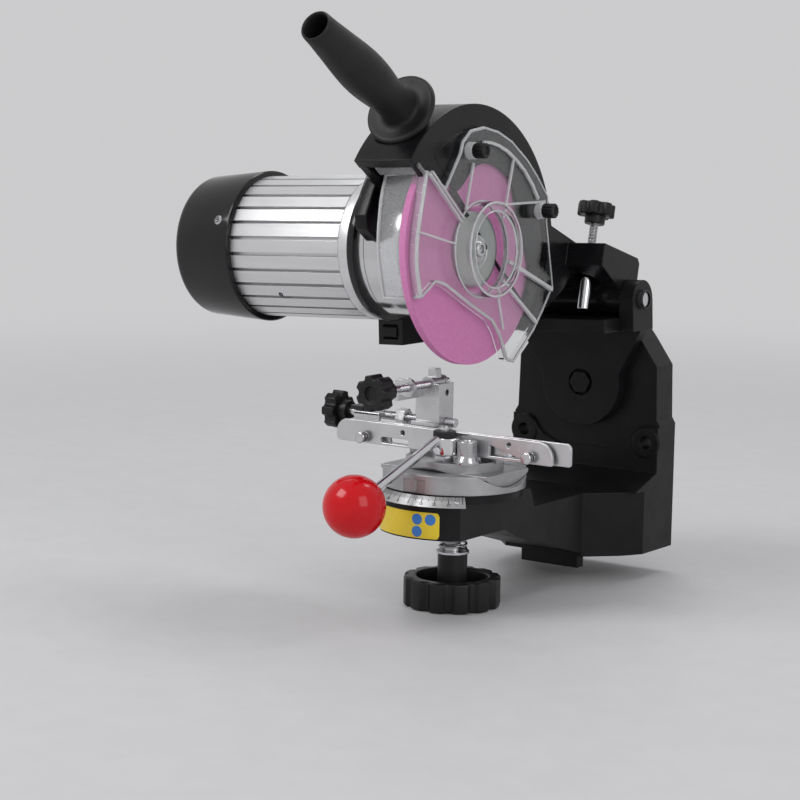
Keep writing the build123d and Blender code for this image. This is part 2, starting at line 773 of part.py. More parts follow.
stop_inner_x = stop_knob_x + stop_knob_h
stop_screw_x = (stop_knob_x + stop_knob_h * 0.35, upright_x[1] + 7)
stop_screw = rod(
    (stop_screw_x[0], stop_screw_y, stop_screw_z),
    (stop_screw_x[1], stop_screw_y, stop_screw_z),
    stop_screw_r,
)
stop_screw += rod(
    (screw_block_x[1] + body_gap, stop_screw_y, stop_screw_z),
    (screw_block_x[1] + 4, stop_screw_y, stop_screw_z),
    stop_screw_r + 2,
)
nut_plane = on_x(upright_x[0] - stop_nut_from_upright, stop_screw_y, stop_screw_z)
stop_screw += extrude(nut_plane * RegularPolygon(stop_screw_r + 3, 6), amount=stop_nut_t)
save("chain_stop_screw", stop_screw)
save(
    "chain_stop_knob",
    star_knob(
        (stop_knob_x, stop_screw_y, stop_screw_z),
        (stop_inner_x, stop_screw_y, stop_screw_z),
        stop_knob_r,
        stop_screw_r,
    ),
)
screw_block = box(
    screw_block_x, (rear_rail_y + rail_thick, stop_screw_y + 6), (rail_z[0] + 2, stop_screw_z + 6)
)
screw_block -= box(
    (rear_rail_x[0] - 1, rear_rail_x[0] + 30),
    (rear_rail_y, rear_rail_y + tab_depth),
    (rail_z[1] - 3, rail_z[1] + 5),
)
screw_block -= rod(
    (screw_block_x[0] - 1, stop_screw_y, stop_screw_z),
    (screw_block_x[1] + 1, stop_screw_y, stop_screw_z),
    stop_screw_r + shaft_fit,
)
save("screw_bearing_block", screw_block)

knob_face = (pawl_x, side_knob_y[0], pawl_z)
knob_back = (pawl_x, side_knob_y[1], pawl_z)
side_knob = star_knob(knob_face, knob_back, side_knob_r, side_screw_r)
side_screw_ends = (side_knob_y[0] + side_screw_past, upright_y[1] + side_screw_past)
side_knob += rod((pawl_x, side_screw_ends[0], pawl_z), (pawl_x, side_screw_ends[1], pawl_z), side_screw_r)
save("side_lock_knob", side_knob)

# ---------------------------------------------------------------- tilt swivel
half_out = hinge_half + body_gap + ear_thick
plate_points = [
    (-swivel_r * 0.96, swivel_z - 6),
    (swivel_r * 0.96, swivel_z - 6),
    (swivel_r, swivel_z + 6),
    (half_out, hinge_z - 14),
    (half_out, hinge_z - 6),
    (-half_out, hinge_z - 6),
    (-half_out, hinge_z - 14),
    (-swivel_r, swivel_z + 6),
]
bracket = rod((0, swivel_front_y, swivel_z), (0, swivel_back_y, swivel_z), swivel_r)
bracket += prism(on_y(swivel_back_y), plate_points, swivel_thick)
ledge = box((-hinge_half, hinge_half), (anvil_front_y, swivel_back_y), (anvil_top_z - 9, anvil_top_z))
bracket += ledge
for side_x in (-1, 1):
    low_x, high_x = sorted((side_x * (hinge_half + body_gap), side_x * half_out))
    bracket += rod((low_x, hinge_y, hinge_z), (high_x, hinge_y, hinge_z), ear_r)
    bracket += box((low_x, high_x), (hinge_y - ear_r, swivel_back_y), (anvil_top_z - 9, hinge_z))
# room for the head's barrel, then the bores
bracket -= rod(
    (-hinge_half - body_gap, hinge_y, hinge_z),
    (hinge_half + body_gap, hinge_y, hinge_z),
    barrel_r + 0.6,
)
bracket -= rod((-half_out - 1, hinge_y, hinge_z), (half_out + 1, hinge_y, hinge_z), hinge_pin_r)
bracket -= rod((0, swivel_front_y - 1, swivel_z), (0, swivel_back_y + 1, swivel_z), swivel_bolt_r)
bracket -= rod((0, swivel_front_y - 1, swivel_z), (0, swivel_front_y + 3.5, swivel_z), swivel_bolt_r + 4)
bracket &= box((-2 * half_out, 2 * half_out), (anvil_front_y - 1, swivel_back_y), (0, hinge_z + 2 * ear_r))
save_leaned("tilt_bracket", bracket)

hinge_pin = rod((-half_out - 2, hinge_y, hinge_z), (half_out + 2, hinge_y, hinge_z), hinge_pin_r)
save_leaned("hinge_pin", hinge_pin)

web_back_y = wall_front_y + wall_skin
swivel_bolt = rod((0, swivel_front_y + 3.5, swivel_z), (0, web_back_y + 8.0, swivel_z), swivel_bolt_r)
swivel_bolt += extrude(
    on_y(swivel_front_y + 3.5, 0, swivel_z) * RegularPolygon(swivel_bolt_r + 3, 6), amount=4.5
)
save_leaned("swivel_bolt", swivel_bolt)
knob_start = (0, web_back_y + body_gap + swivel_knob_h, swivel_z)
knob_end = (0, web_back_y + body_gap, swivel_z)
rear_knob = star_knob(knob_start, knob_end, swivel_knob_r, swivel_bolt_r + thread_play)
save_leaned("swivel_lock_knob", rear_knob)

# the spring that lifts the head, wound round the hinge pin in the barrel's gap
spring_half = 16.0
spring_wire = 2.2
spring_r = hinge_pin_r + 1.0 + spring_wire / 2


def hinge_coil():
    """A torsion spring's closed turns round the hinge pin."""
    turns = 9
    height = 2 * spring_half - 2 * spring_wire
    helix = Helix(pitch=height / turns, height=height, radius=spring_r, center=(0, 0, -height / 2))
    start = Plane(origin=helix @ 0, z_dir=helix % 0)
    wound = sweep(start * Circle(spring_wire / 2), path=helix)
    return Pos(0, hinge_y, hinge_z) * (Rot(0, 90, 0) * wound)


save_leaned("head_return_spring", hinge_coil())

# ---------------------------------------------------------------- head casting


def along(u, v, x=0.0):
    """A point given forward along the arm (u) and square to it (v), at a sideways place x."""
    forward = (-cos(radians(arm_angle)), sin(radians(arm_angle)))
    square = (sin(radians(arm_angle)), cos(radians(arm_angle)))
    return (x, hinge_y + u * forward[0] + v * square[0], hinge_z + u * forward[1] + v * square[1])


def spindle_rod(x, radius):
    """A round bar on the spindle's axis between two places counted from the wheel."""
    return rod((wheel_x + x[0], wheel_y, wheel_z), (wheel_x + x[1], wheel_y, wheel_z), radius)


def spindle_tube(x, outer, inner):
    """A round tube on the spindle's axis."""
    return tube((wheel_x + x[0], wheel_y, wheel_z), (wheel_x + x[1], wheel_y, wheel_z), outer, inner)


def sector(radius_out, radius_in, from_deg, to_deg):
    """A slice of a ring about the spindle, drawn back (+Y) and up (+Z)."""
    mid = (from_deg + to_deg) / 2
    a_out, m_out, b_out = (polar(radius_out, a) for a in (from_deg, mid, to_deg))
    a_in, m_in, b_in = (polar(radius_in, a) for a in (from_deg, mid, to_deg))
    edges = ThreePointArc(
        a_out, m_out, b_out
    ) + Line(b_out, b_in) + ThreePointArc(b_in, m_in, a_in) + Line(a_in, a_out)
    return make_face(edges)


def shell_outline(x, front_low, front_top, crown, back_top, back_side, back_low):
    """One cross-section of the cover's back shell: sloped flat in front, round crown, sloped back."""
    edges = (
        Line(front_low, front_top)
        + ThreePointArc(front_top, crown, back_top)
        + ThreePointArc(back_top, back_side, back_low)
        + Line(back_low, front_low)
    )
    return on_x(wheel_x + x, wheel_y, wheel_z) * make_face(edges)


def back_shell():
    """The shell that narrows from the cover's rim back to the motor's ring."""
    rim_x = cover_depth[0]
    inner_r = cover_r - cover_skin
    at_ring = shell_outline(
        shell_ring_x,
        (-46.7, 22.9),
        (-5.0, 87.0),
        (22.0, 86.0),
        (47.0, 72.0),
        (56.0, 40.0),
        (50.0, 4.0),
    )
    rim = [polar(cover_r, a) for a in (cover_to_deg, 104.0, 75.0, 46.0, 7.0, cover_from_deg)]
    outer = loft([at_ring, shell_outline(rim_x, *rim)], ruled=True)
    outer += extrude(shell_outline(rim_x, *rim), amount=cover_plate_t)
    inner_ring = shell_outline(
        shell_ring_x + shell_t,
        (-41.5, 20.5),
        (-4.0, 81.0),
        (21.0, 80.0),
        (43.0, 67.0),
        (50.5, 38.0),
        (45.0, 4.0),
    )
    inner_rim = [polar(inner_r, a) for a in (cover_to_deg - 3, 103.0, 75.0, 47.0, 7.0, cover_from_deg + 3)]
    room = loft([inner_ring, shell_outline(rim_x, *inner_rim)], ruled=True)
    room += extrude(shell_outline(rim_x, *inner_rim), amount=cover_plate_t + cut_over)
    return outer - room - spindle_rod((shell_ring_x - 1, rim_x + cover_plate_t + 1), neck_r)


def wheel_cover():
    back, front = cover_depth
    plane = on_x(wheel_x + back, wheel_y, wheel_z)
    face = on_x(wheel_x + front - cover_lip_t, wheel_y, wheel_z)
    body = extrude(
        plane * sector(cover_r, cover_r - cover_skin, cover_from_deg, cover_to_deg),
        amount=front - back,
    )
    body += extrude(
        face * sector(cover_r, cover_lip_r, cover_from_deg + 45, cover_to_deg), amount=cover_lip_t
    )
    body += extrude(face * make_face(Polyline(*cover_leg, close=True)), amount=cover_lip_t)
    body += back_shell()
    # lugs that carry the guard's two studs
    for nut_y, nut_z in thumb_nut_at:
        reach = hypot(nut_y, nut_z)
        lug = Pos(nut_y, nut_z) * Circle(8)
        tie_y, tie_z = nut_y * (cover_r - 4) / reach, nut_z * (cover_r - 4) / reach
        body += extrude(face * lug, amount=cover_lip_t)
        middle = (wheel_y + (nut_y + tie_y) / 2, wheel_z + (nut_z + tie_z) / 2)
        body += rod((wheel_x + front - cover_lip_t, *middle), (wheel_x + front, *middle), 7)
    return body


def arm_casting():
    """The arm between the cover and the hinge: a plate over a round barrel."""
    plate = [
        along(4 - barrel_r, 4),
        along(4 - barrel_r, arm_plate[1] - 3),
        along(7 - barrel_r, arm_plate[1]),
        along(stop_u + 18, arm_plate[1]),
        along(stop_u + 18, arm_plate[0]),
        along(4, 0),
    ]
    block = prism(on_x(-hinge_half), [(p[1], p[2]) for p in plate], 2 * hinge_half)
    tail = [
        along(stop_u - 12, arm_plate[1]),
        along(arm_length - cover_r + 8, arm_plate[1] + 6),
        along(arm_length - cover_r + 8, -26),
        along(arm_reach - 22, -2),
        along(stop_u + 6, arm_plate[0]),
    ]
    neck = prism(
        on_x(wheel_x + cover_depth[0]),
        [(p[1], p[2]) for p in tail],
        cover_depth[1] - cover_depth[0],
    )
    barrel = rod((-hinge_half, hinge_y, hinge_z), (hinge_half, hinge_y, hinge_z), barrel_r)
    return block + neck + barrel


def handle_frame(distance):
    """A plane square to the handle, at a distance out from its flange."""
    rise = radians(handle_rise_deg)
    direction = Vector(0, -cos(rise), sin(rise))
    centre = Vector(handle_x, wheel_y + handle_at[0], wheel_z + handle_at[1]) + direction * distance
    return Plane(origin=centre, x_dir=(1, 0, 0), z_dir=direction)


cover = wheel_cover() + arm_casting()
boss = extrude(handle_frame(-34) * Circle(handle_boss_r), amount=34)
boss -= spindle_rod((-60, 60), cover_r - cover_skin + 1)
cover += boss
# clear the wheel's own space in the arm, then cut the bores
wheel_room = spindle_rod((cover_depth[0] + cover_plate_t, cover_depth[1] + 1), cover_r - cover_skin)
lip_keep = spindle_rod((cover_depth[1] - cover_lip_t, cover_depth[1] + 1), cover_r - cover_skin + 1)
cover -= wheel_room - lip_keep
cover -= spindle_rod((cover_depth[1] - cover_lip_t - 1, cover_depth[1] + 1), 50)
cover -= rod(
    (-hinge_half - 1, hinge_y, hinge_z), (hinge_half + 1, hinge_y, hinge_z), hinge_pin_r + shaft_fit
)
cover -= rod(
    (-spring_half, hinge_y, hinge_z),
    (spring_half, hinge_y, hinge_z),
    spring_r + spring_wire / 2 + 0.6,
)
cover -= spindle_rod((shell_ring_x - 1, cover_depth[0] + cover_plate_t + 1), neck_r)
stop_bottom = along(stop_u, arm_plate[0] - 20, stop_x)
stop_top = along(stop_u, arm_plate[1] + 5, stop_x)
cover -= rod(stop_bottom, stop_top, depth_rod_r + thread_play)
under_room = along(stop_u, -30, stop_x)
cover -= rod(under_room, along(stop_u, arm_plate[0] - 0.5, stop_x), depth_barrel_r + 5)
cover -= rod(under_room, along(stop_u, arm_plate[0] + depth_foot_room, stop_x), depth_barrel_r + 0.5)
for nut_y, nut_z in thumb_nut_at:
    stud_start = (wheel_x + cover_depth[1] - cover_lip_t - 1, wheel_y + nut_y, wheel_z + nut_z)
    stud_end = (wheel_x + cover_depth[1] + 1, wheel_y + nut_y, wheel_z + nut_z)
    cover -= rod(stud_start, stud_end, guard_stud_r)
cover -= extrude(handle_frame(-stud_in_cover - 1) * Circle(handle_stud_r), amount=stud_in_cover + 5)
cover -= extrude(handle_frame(0) * Circle(handle_flange_r + 0.3), amount=40)
save_leaned("wheel_cover_casting", cover)

# ---------------------------------------------------------------- handle
grip_profile = Spline((11.5, handle_flange_t), (11.2, 14), (14.4, 46), (11.4, 82), (9.8, handle_len - 1.2))
grip_line = grip_profile + Polyline(
    (9.8, handle_len - 1.2),
    (9.0, handle_len),
    (7.0, handle_len),
    (6.4, handle_len - grip_hole_depth),
    (0, handle_len - grip_hole_depth),
    (0, 0),
    (handle_flange_r - 1, 0),
    (handle_flange_r, 1),
    (handle_flange_r, handle_flange_t - 1),
    (handle_flange_r - 1, handle_flange_t),
    (11.5, handle_flange_t),
)
grip_local = revolve(Plane.XZ * make_face(grip_line), Axis.Z)
grip = handle_frame(0.0).location * grip_local
grip -= extrude(handle_frame(-1) * Circle(handle_stud_r), amount=stud_in_grip + 1)
save_leaned("handle_grip", grip)
handle_stud = extrude(
    handle_frame(-stud_in_cover) * Circle(handle_stud_r), amount=stud_in_cover + stud_in_grip - 2
)
save_leaned("handle_stud", handle_stud)

# ---------------------------------------------------------------- motor
neck_front_x = neck_x[1] - neck_skin
neck = spindle_tube(neck_x, neck_r, neck_r - neck_skin)
neck += spindle_tube((neck_front_x, neck_x[1]), neck_r - 1, shaft_r + 1.5)
neck += spindle_tube((neck_front_x - bearing_t, neck_x[1]), bearing_r + 4, bearing_r)
neck -= spindle_rod((neck_front_x - bearing_t - 1, neck_front_x), bearing_r)
neck -= spindle_rod((neck_front_x - 1, neck_x[1] + 1), shaft_r + 1.5)
neck += spindle_tube((neck_front_x, neck_x[1]), bearing_r + 1, shaft_r + 1.5)
save_leaned("motor_nose", neck)
ring = spindle_tube(motor_ring_x, motor_ring_r, neck_r - neck_skin - 2)
save_leaned("motor_mount_ring", ring)


def finned_body():
    body = spindle_tube(motor_x, motor_r, motor_inner_r)
    groove_len = motor_x[1] - motor_plain - motor_x[0] + cut_over
    for index in range(fin_count):
        turn = 360.0 * index / fin_count
        dy, dz = polar(motor_r, turn)
        groove = Pos(wheel_x + motor_x[0] - cut_over + groove_len / 2, wheel_y + dy, wheel_z + dz) * (
            Rot(turn, 0, 0) * Box(groove_len, 2 * fin_depth, fin_width)
        )
        body -= groove
    return body


save_leaned("motor_body", finned_body())

cap = spindle_rod((cap_end_x, motor_x[0]), motor_r - 0.3)
cap = chamfer(cap.edges().filter_by(GeomType.CIRCLE).sort_by(Axis.X)[0], cap_bevel)
cap += spindle_rod((motor_x[0] - cap_lip_len, motor_x[0]), cap_lip_r)
cap -= spindle_rod((cap_end_x + cap_skin, motor_x[0] + 1), motor_inner_r)
bearing_seat_x = cap_end_x + cap_skin
cap += spindle_tube((bearing_seat_x - 1, bearing_seat_x + bearing_t + 1), bearing_r + 3, bearing_r)
slit_w = 1.8
for index in range(9):
    slit_z = wheel_z - 20 + 5.0 * index
    cap -= box(
        (wheel_x + cap_end_x - 1, wheel_x + cap_end_x + cap_skin + 0.5),
        (wheel_y - 34, wheel_y - 21),
        (slit_z, slit_z + slit_w),
    )
    cap -= box(
        (wheel_x + cap_end_x - 1, wheel_x + cap_end_x + cap_skin + 0.5),
        (wheel_y + 21, wheel_y + 34),
        (slit_z, slit_z + slit_w),
    )
save_leaned("motor_end_cap", cap)
cap_screws = []
for turn in (40.0, 140.0, 220.0, 320.0):
    dy, dz = polar(cap_screw_ring_r - 3, turn)
    start = (wheel_x + cap_end_x, wheel_y + dy, wheel_z + dz)
    cap_screws.append(rod((start[0] - 1.6, start[1], start[2]), start, cap_screw_r))
save_leaned("end_cap_screws", *cap_screws)

# ---------------------------------------------------------------- inside the motor
stator = spindle_tube(stator_x, motor_inner_r, stator_inner_r)
save_leaned("stator_core", stator)
coils = []
for low, high in ((stator_x[0] - coil_len, stator_x[0]), (stator_x[1], stator_x[1] + coil_len)):
    coils.append(spindle_tube((low, high), motor_inner_r - 3, stator_inner_r + 2))
save_leaned("stator_coils", *coils)
rotor = spindle_tube((stator_x[0] + 1, stator_x[1] - 1), rotor_r, shaft_r)
save_leaned("rotor_core", rotor)
save_leaned("commutator", spindle_tube(commutator_x, commutator_r, shaft_r))
fan = spindle_tube((fan_x[0], fan_x[0] + 2), fan_r, shaft_r)
fan += spindle_tube(fan_x, 11, shaft_r)
for index in range(fan_blades):
    turn = 360.0 * index / fan_blades
    mid = (10 + fan_r) / 2
    dy, dz = polar(mid, turn)
    fan += Pos(wheel_x + (fan_x[0] + fan_x[1]) / 2, wheel_y + dy, wheel_z + dz) * (
        Rot(turn, 0, 0) * Box(fan_x[1] - fan_x[0], fan_r - 11, 1.6)
    )
save_leaned("cooling_fan", fan)
brushes = []
for side_y in (-1, 1):
    inner_y = wheel_y + side_y * (commutator_r + body_gap)
    outer_y = wheel_y + side_y * (motor_inner_r - 0.2)
    brushes.append(
        box(
            (wheel_x + commutator_x[0] + 3, wheel_x + commutator_x[1] - 3),
            tuple(sorted((inner_y, outer_y))),
            (wheel_z - 3, wheel_z + 3),
        )
    )
save_leaned("carbon_brushes", *brushes)
front_bearing_x = (neck_front_x - bearing_t, neck_front_x)
rear_bearing_x = (bearing_seat_x, bearing_seat_x + bearing_t)
bearings = [
    spindle_tube(place, bearing_r, shaft_r + shaft_fit) for place in (front_bearing_x, rear_bearing_x)
]
save_leaned("shaft_bearings", *bearings)

# ---------------------------------------------------------------- spindle and wheel
half_wheel = wheel_thick / 2
shaft = spindle_rod((bearing_seat_x + 0.5, half_wheel + flange_t), shaft_r)
shaft -= spindle_rod((half_wheel + flange_t - 8, half_wheel + flange_t + 1), 3.0)
save_leaned("motor_shaft", shaft)
wheel = spindle_tube((-half_wheel, half_wheel), wheel_r, wheel_bore_r)
save_leaned("grinding_wheel", wheel)
inner_flange = spindle_tube((-half_wheel - flange_t, -half_wheel), flange_r, shaft_r)
inner_flange += spindle_tube((-half_wheel - 12, -half_wheel), 11.0, shaft_r)
inner_flange += spindle_tube((-half_wheel, half_wheel - 0.4), wheel_bore_r, shaft_r)
outer_flange = spindle_tube((half_wheel, half_wheel + flange_t), flange_r, shaft_r)
save_leaned("inner_wheel_flange", inner_flange)
save_leaned("outer_wheel_flange", outer_flange)
screw_head = spindle_rod((half_wheel + flange_t, half_wheel + flange_t + 4), spindle_screw_r)
screw_head += spindle_rod((half_wheel + flange_t, half_wheel + flange_t + 1.2), spindle_screw_r + 4)
socket = extrude(
    on_x(wheel_x + half_wheel + flange_t + 1.8, wheel_y, wheel_z) * RegularPolygon(2.6, 6), amount=5
)
screw_head -= socket
screw_head += spindle_rod((half_wheel + flange_t - 7.5, half_wheel + flange_t), 3.0)
save_leaned("spindle_screw", screw_head)

# ---------------------------------------------------------------- clear guard
guard_top = (6.0, 75.5)
guard_corner = polar(guard_wall_r + 1.0, guard_wall_deg[0])
guard_foot = polar(guard_wall_r + 1.0, guard_wall_deg[1])
guard_back = [
    (38.0, 66.0),
    (56.0, 54.0),
    (68.0, 43.0),
    (80.0, 30.0),
    (78.0, 14.0),
    (84.5, -28.5),
    (71.5, -43.5),
    (60.0, -55.5),
    (36.0, -73.5),
]
guard_notch = [(28.5, -71.5), (19.5, -54.1), (11.6, -45.3), (-12.0, -34.1), (-40.4, -19.2), (-51.0, -16.7)]
guard_outline = (
    Polyline(guard_top, *guard_back, *guard_notch, guard_foot)
    + RadiusArc(guard_foot, guard_corner, guard_wall_r + 1.0)
    + ThreePointArc(guard_corner, (-30, 70), guard_top)
)


def clear_guard():
    plate_plane = on_x(wheel_x + guard_x[0], wheel_y, wheel_z)
    face = make_face(guard_outline)
    body = extrude(plate_plane * face, amount=guard_x[1] - guard_x[0])
    low_half = Pos(-6, -50) * Rectangle(150, 100)  # stops short of the cover's end
    lip_face = face - offset(face, amount=-guard_skin)
    lip_face = lip_face & low_half
    body += extrude(on_x(wheel_x + guard_x[0] - guard_lip, wheel_y, wheel_z) * lip_face, amount=guard_lip)
    # the wall in front of the wheel, back to the cover's plate, with a small roof
    wall_plane = on_x(wheel_x + guard_wall_back, wheel_y, wheel_z)
    wall_depth = guard_x[0] - guard_wall_back
    outer_r = guard_wall_r + 1.0
    body += extrude(wall_plane * sector(outer_r, outer_r - guard_skin, *guard_wall_deg), amount=wall_depth)
    roof = sector(cover_r - cover_skin, outer_r - guard_skin, guard_wall_deg[0], guard_wall_deg[0] + 1.6)
    body += extrude(wall_plane * roof, amount=wall_depth)
    body += spindle_tube((guard_x[0], guard_ring_x), guard_ring_r[1], guard_ring_r[1] - guard_skin)
    body += spindle_tube((guard_ring_x - guard_skin, guard_ring_x), guard_ring_r[1], guard_ring_r[0])
    body -= spindle_rod((guard_x[0] - 1, guard_ring_x - guard_skin), guard_ring_r[1] - guard_skin)
    for nut_y, nut_z in thumb_nut_at:
        at = (wheel_y + nut_y, wheel_z + nut_z)
        body += rod((wheel_x + guard_x[0], *at), (wheel_x + guard_boss_x, *at), guard_boss_r)
        body -= rod((wheel_x + guard_x[0] - 1, *at), (wheel_x + guard_boss_x + 1, *at), guard_stud_r + 0.2)
    return body


save_leaned("clear_guard", clear_guard())
studs, nuts = [], []
for nut_y, nut_z in thumb_nut_at:
    at = (wheel_y + nut_y, wheel_z + nut_z)
    nut_x = wheel_x + guard_boss_x
    guard_stud = rod(
        (wheel_x + cover_depth[1] - cover_lip_t, *at), (nut_x + thumb_nut_h - 3, *at), guard_stud_r
    )
    studs.append(
        guard_stud + rod((wheel_x + cover_depth[1], *at), (wheel_x + guard_x[0], *at), guard_stud_r + 2.5)
    )
    nut_plane = Plane(origin=(nut_x, *at), z_dir=(1, 0, 0))
    nut = extrude(nut_plane * lobed(thumb_nut_r, 8, 1.2), amount=thumb_nut_h)
    nut -= rod((nut_x - 1, *at), (nut_x + thumb_nut_h - 3, *at), guard_stud_r)
    nuts.append(nut)
save_leaned("guard_studs", *studs)
save_leaned("guard_thumb_nuts", *nuts)

# ---------------------------------------------------------------- switch box
sx = (wheel_x + box_x[0], wheel_x + box_x[1])
sy = (wheel_y + box_y[0], wheel_y + box_y[1])
sz = (wheel_z + box_z[0], wheel_z + box_z[1])
housing = box(sx, sy, sz) - spindle_rod((box_x[0] - 1, box_x[1] + 1), motor_r)
housing -= box(
    (sx[0] + box_skin, sx[1] - box_skin),
    (sy[0] + box_skin, sy[1] - box_skin),
    (sz[0] + box_skin, wheel_z + box_roof_z),
)
rocker_at = ((sx[0] + sx[1]) / 2, sy[0], (sz[0] + wheel_z + box_roof_z) / 2 + 0.5)
window_half = (rocker_half[0] + body_gap, rocker_half[1] + body_gap)
housing -= box(
    (rocker_at[0] - window_half[0], rocker_at[0] + window_half[0]),
    (sy[0] - 1, sy[0] + box_skin + 1),
    (rocker_at[2] - window_half[1], rocker_at[2] + window_half[1]),
)
housing -= rod(
    (rocker_at[0], sy[1] - box_skin - 1, rocker_at[2]),
    (rocker_at[0], sy[1] + 1, rocker_at[2]),
    gland_r - 1.5,
)
save_leaned("switch_box", housing)
rocker = box(
    (rocker_at[0] - rocker_half[0], rocker_at[0] + rocker_half[0]),
    (sy[0] - 1.2, sy[0] + rocker_t),
    (rocker_at[2] - rocker_half[1], rocker_at[2] + rocker_half[1]),
)
rocker_pivot = (sx[0], sy[0] + 3.0, rocker_at[2])
rocker &= rod(rocker_pivot, (sx[1], rocker_pivot[1], rocker_pivot[2]), rocker_half[1] + 0.1)
rocker = rocker.rotate(Axis(rocker_pivot, (1, 0, 0)), rocker_off_deg)
save_leaned("switch_rocker", rocker)
gland = tube(
    (rocker_at[0], sy[1], rocker_at[2]),
    (rocker_at[0], sy[1] + gland_len, rocker_at[2]),
    gland_r,
    gland_r - 2.5,
)
gland += tube(
    (rocker_at[0], sy[1], rocker_at[2]),
    (rocker_at[0], sy[1] + 3, rocker_at[2]),
    gland_r + 2,
    gland_r - 2.5,
)
save_leaned("cord_gland", gland)

# ---------------------------------------------------------------- depth stop
stop_rod = rod(along(stop_u, depth_rod_v[0], stop_x), along(stop_u, depth_rod_v[1], stop_x), depth_rod_r)
save_leaned("depth_stop_screw", stop_rod)
barrel = rod(
    along(stop_u, depth_barrel_v[0], stop_x),
    along(stop_u, depth_barrel_v[1], stop_x),
    depth_barrel_r,
)
barrel_floor_v = depth_rod_v[0] - shaft_fit
barrel -= rod(
    along(stop_u, barrel_floor_v, stop_x), along(stop_u, depth_rod_v[1], stop_x), depth_rod_r + shaft_fit
)
save_leaned("depth_stop_foot", barrel)
depth_knob = star_knob(
    along(stop_u, depth_knob_v[1], stop_x), along(stop_u, depth_knob_v[0], stop_x), depth_knob_r, depth_rod_r
)
save_leaned("depth_stop_knob", depth_knob)
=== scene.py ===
import math

import bmesh
import bpy
from mathutils import Matrix, Vector


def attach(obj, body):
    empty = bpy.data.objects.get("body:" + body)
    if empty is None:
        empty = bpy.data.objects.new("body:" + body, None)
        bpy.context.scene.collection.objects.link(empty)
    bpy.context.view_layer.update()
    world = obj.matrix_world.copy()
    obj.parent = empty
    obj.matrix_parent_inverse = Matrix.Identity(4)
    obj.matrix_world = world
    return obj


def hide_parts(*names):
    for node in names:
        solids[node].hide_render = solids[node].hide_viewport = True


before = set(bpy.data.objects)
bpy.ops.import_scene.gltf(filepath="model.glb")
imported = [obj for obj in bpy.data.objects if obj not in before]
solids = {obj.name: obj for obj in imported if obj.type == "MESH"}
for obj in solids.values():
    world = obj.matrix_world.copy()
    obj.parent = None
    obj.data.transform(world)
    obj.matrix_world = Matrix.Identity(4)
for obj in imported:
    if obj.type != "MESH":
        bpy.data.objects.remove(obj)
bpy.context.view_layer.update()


# ---------------------------------------------------------------- base casting
# The base is one iron casting: an upright wall with two bolt ears, a hollow foot with a hook, and
# an arm that carries the turntable. It is dipped in black enamel, so its edges are soft and its
# skin shows a fine cast grain through the paint.
def shader(tree, kind, settings=None, **sockets):
    """Add one node; a socket's value may be a constant or another node's output."""
    made = tree.nodes.new("ShaderNode" + kind)
    for label, value in (settings or {}).items():
        setattr(made, label, value)
    for label, value in sockets.items():
        socket = made.inputs[int(label[1:])] if label[1:].isdigit() else made.inputs[label.replace("_", " ")]
        if isinstance(value, bpy.types.NodeSocket):
            tree.links.new(value, socket)
        else:
            socket.default_value = value
    return made


def effect(name, inputs, outputs):
    """Start a node group with named inputs and outputs."""
    tree = bpy.data.node_groups.new(name, "ShaderNodeTree")
    for label, kind, value in inputs:
        socket = tree.interface.new_socket(name=label, in_out="INPUT", socket_type="NodeSocket" + kind)
        if value is not None:
            socket.default_value = value
    for label, kind in outputs:
        tree.interface.new_socket(name=label, in_out="OUTPUT", socket_type="NodeSocket" + kind)
    return tree, tree.nodes.new("NodeGroupInput").outputs, tree.nodes.new("NodeGroupOutput").inputs


def build_surface_grain():
    """Fine skin and broad mottling of a made surface, stretched along a direction for brushed metal."""
    tree, given, result = effect(
        "surface grain",
        [("Place", "Vector", None), ("Stretch", "Vector", (1, 1, 1)), ("Scale", "Float", 900.0),
         ("Mottle Scale", "Float", 40.0)],
        [("Height", "Float"), ("Tone", "Float")],
    )
    drawn = shader(tree, "VectorMath", {"operation": "MULTIPLY"}, _0=given["Place"], _1=given["Stretch"])
    fine = shader(tree, "TexNoise", Vector=drawn.outputs[0], Scale=given["Scale"], Detail=3.0, Roughness=0.6)
    broad = shader(tree, "TexNoise", Vector=drawn.outputs[0], Scale=given["Mottle Scale"], Detail=4.0,
                   Roughness=0.55)
    spread = shader(tree, "MapRange", Value=broad.outputs["Fac"], _1=0.35, _2=0.65)
    tree.links.new(fine.outputs["Fac"], result["Height"])
    tree.links.new(spread.outputs[0], result["Tone"])
    return tree


def build_handled_marks():
    """Uneven shine: wiped and touched patches with a few fine hairline scratches."""
    tree, given, result = effect(
        "handled marks",
        [("Place", "Vector", None), ("Low", "Float", 0.3), ("High", "Float", 0.45),
         ("Scratches", "Float", 0.1)],
        [("Roughness", "Float")],
    )
    patches = shader(tree, "TexNoise", Vector=given["Place"], Scale=55.0, Detail=5.0, Roughness=0.62,
                     Distortion=0.8)
    wiped = shader(tree, "MapRange", Value=patches.outputs["Fac"], _1=0.3, _2=0.7, _3=given["Low"],
                   _4=given["High"])
    slant = shader(tree, "Mapping", Vector=given["Place"], Rotation=(0.6, 0.9, 0.3),
                   Scale=(30.0, 900.0, 900.0))
    hair = shader(tree, "TexNoise", Vector=slant.outputs[0], Scale=1.0, Detail=2.0, Roughness=0.5)
    line = shader(tree, "MapRange", Value=hair.outputs["Fac"], _1=0.64, _2=0.7)
    scaled = shader(tree, "Math", {"operation": "MULTIPLY"}, _0=line.outputs[0], _1=given["Scratches"])
    total = shader(tree, "Math", {"operation": "ADD", "use_clamp": True}, _0=wiped.outputs[0],
                   _1=scaled.outputs[0])
    tree.links.new(total.outputs[0], result["Roughness"])
    return tree


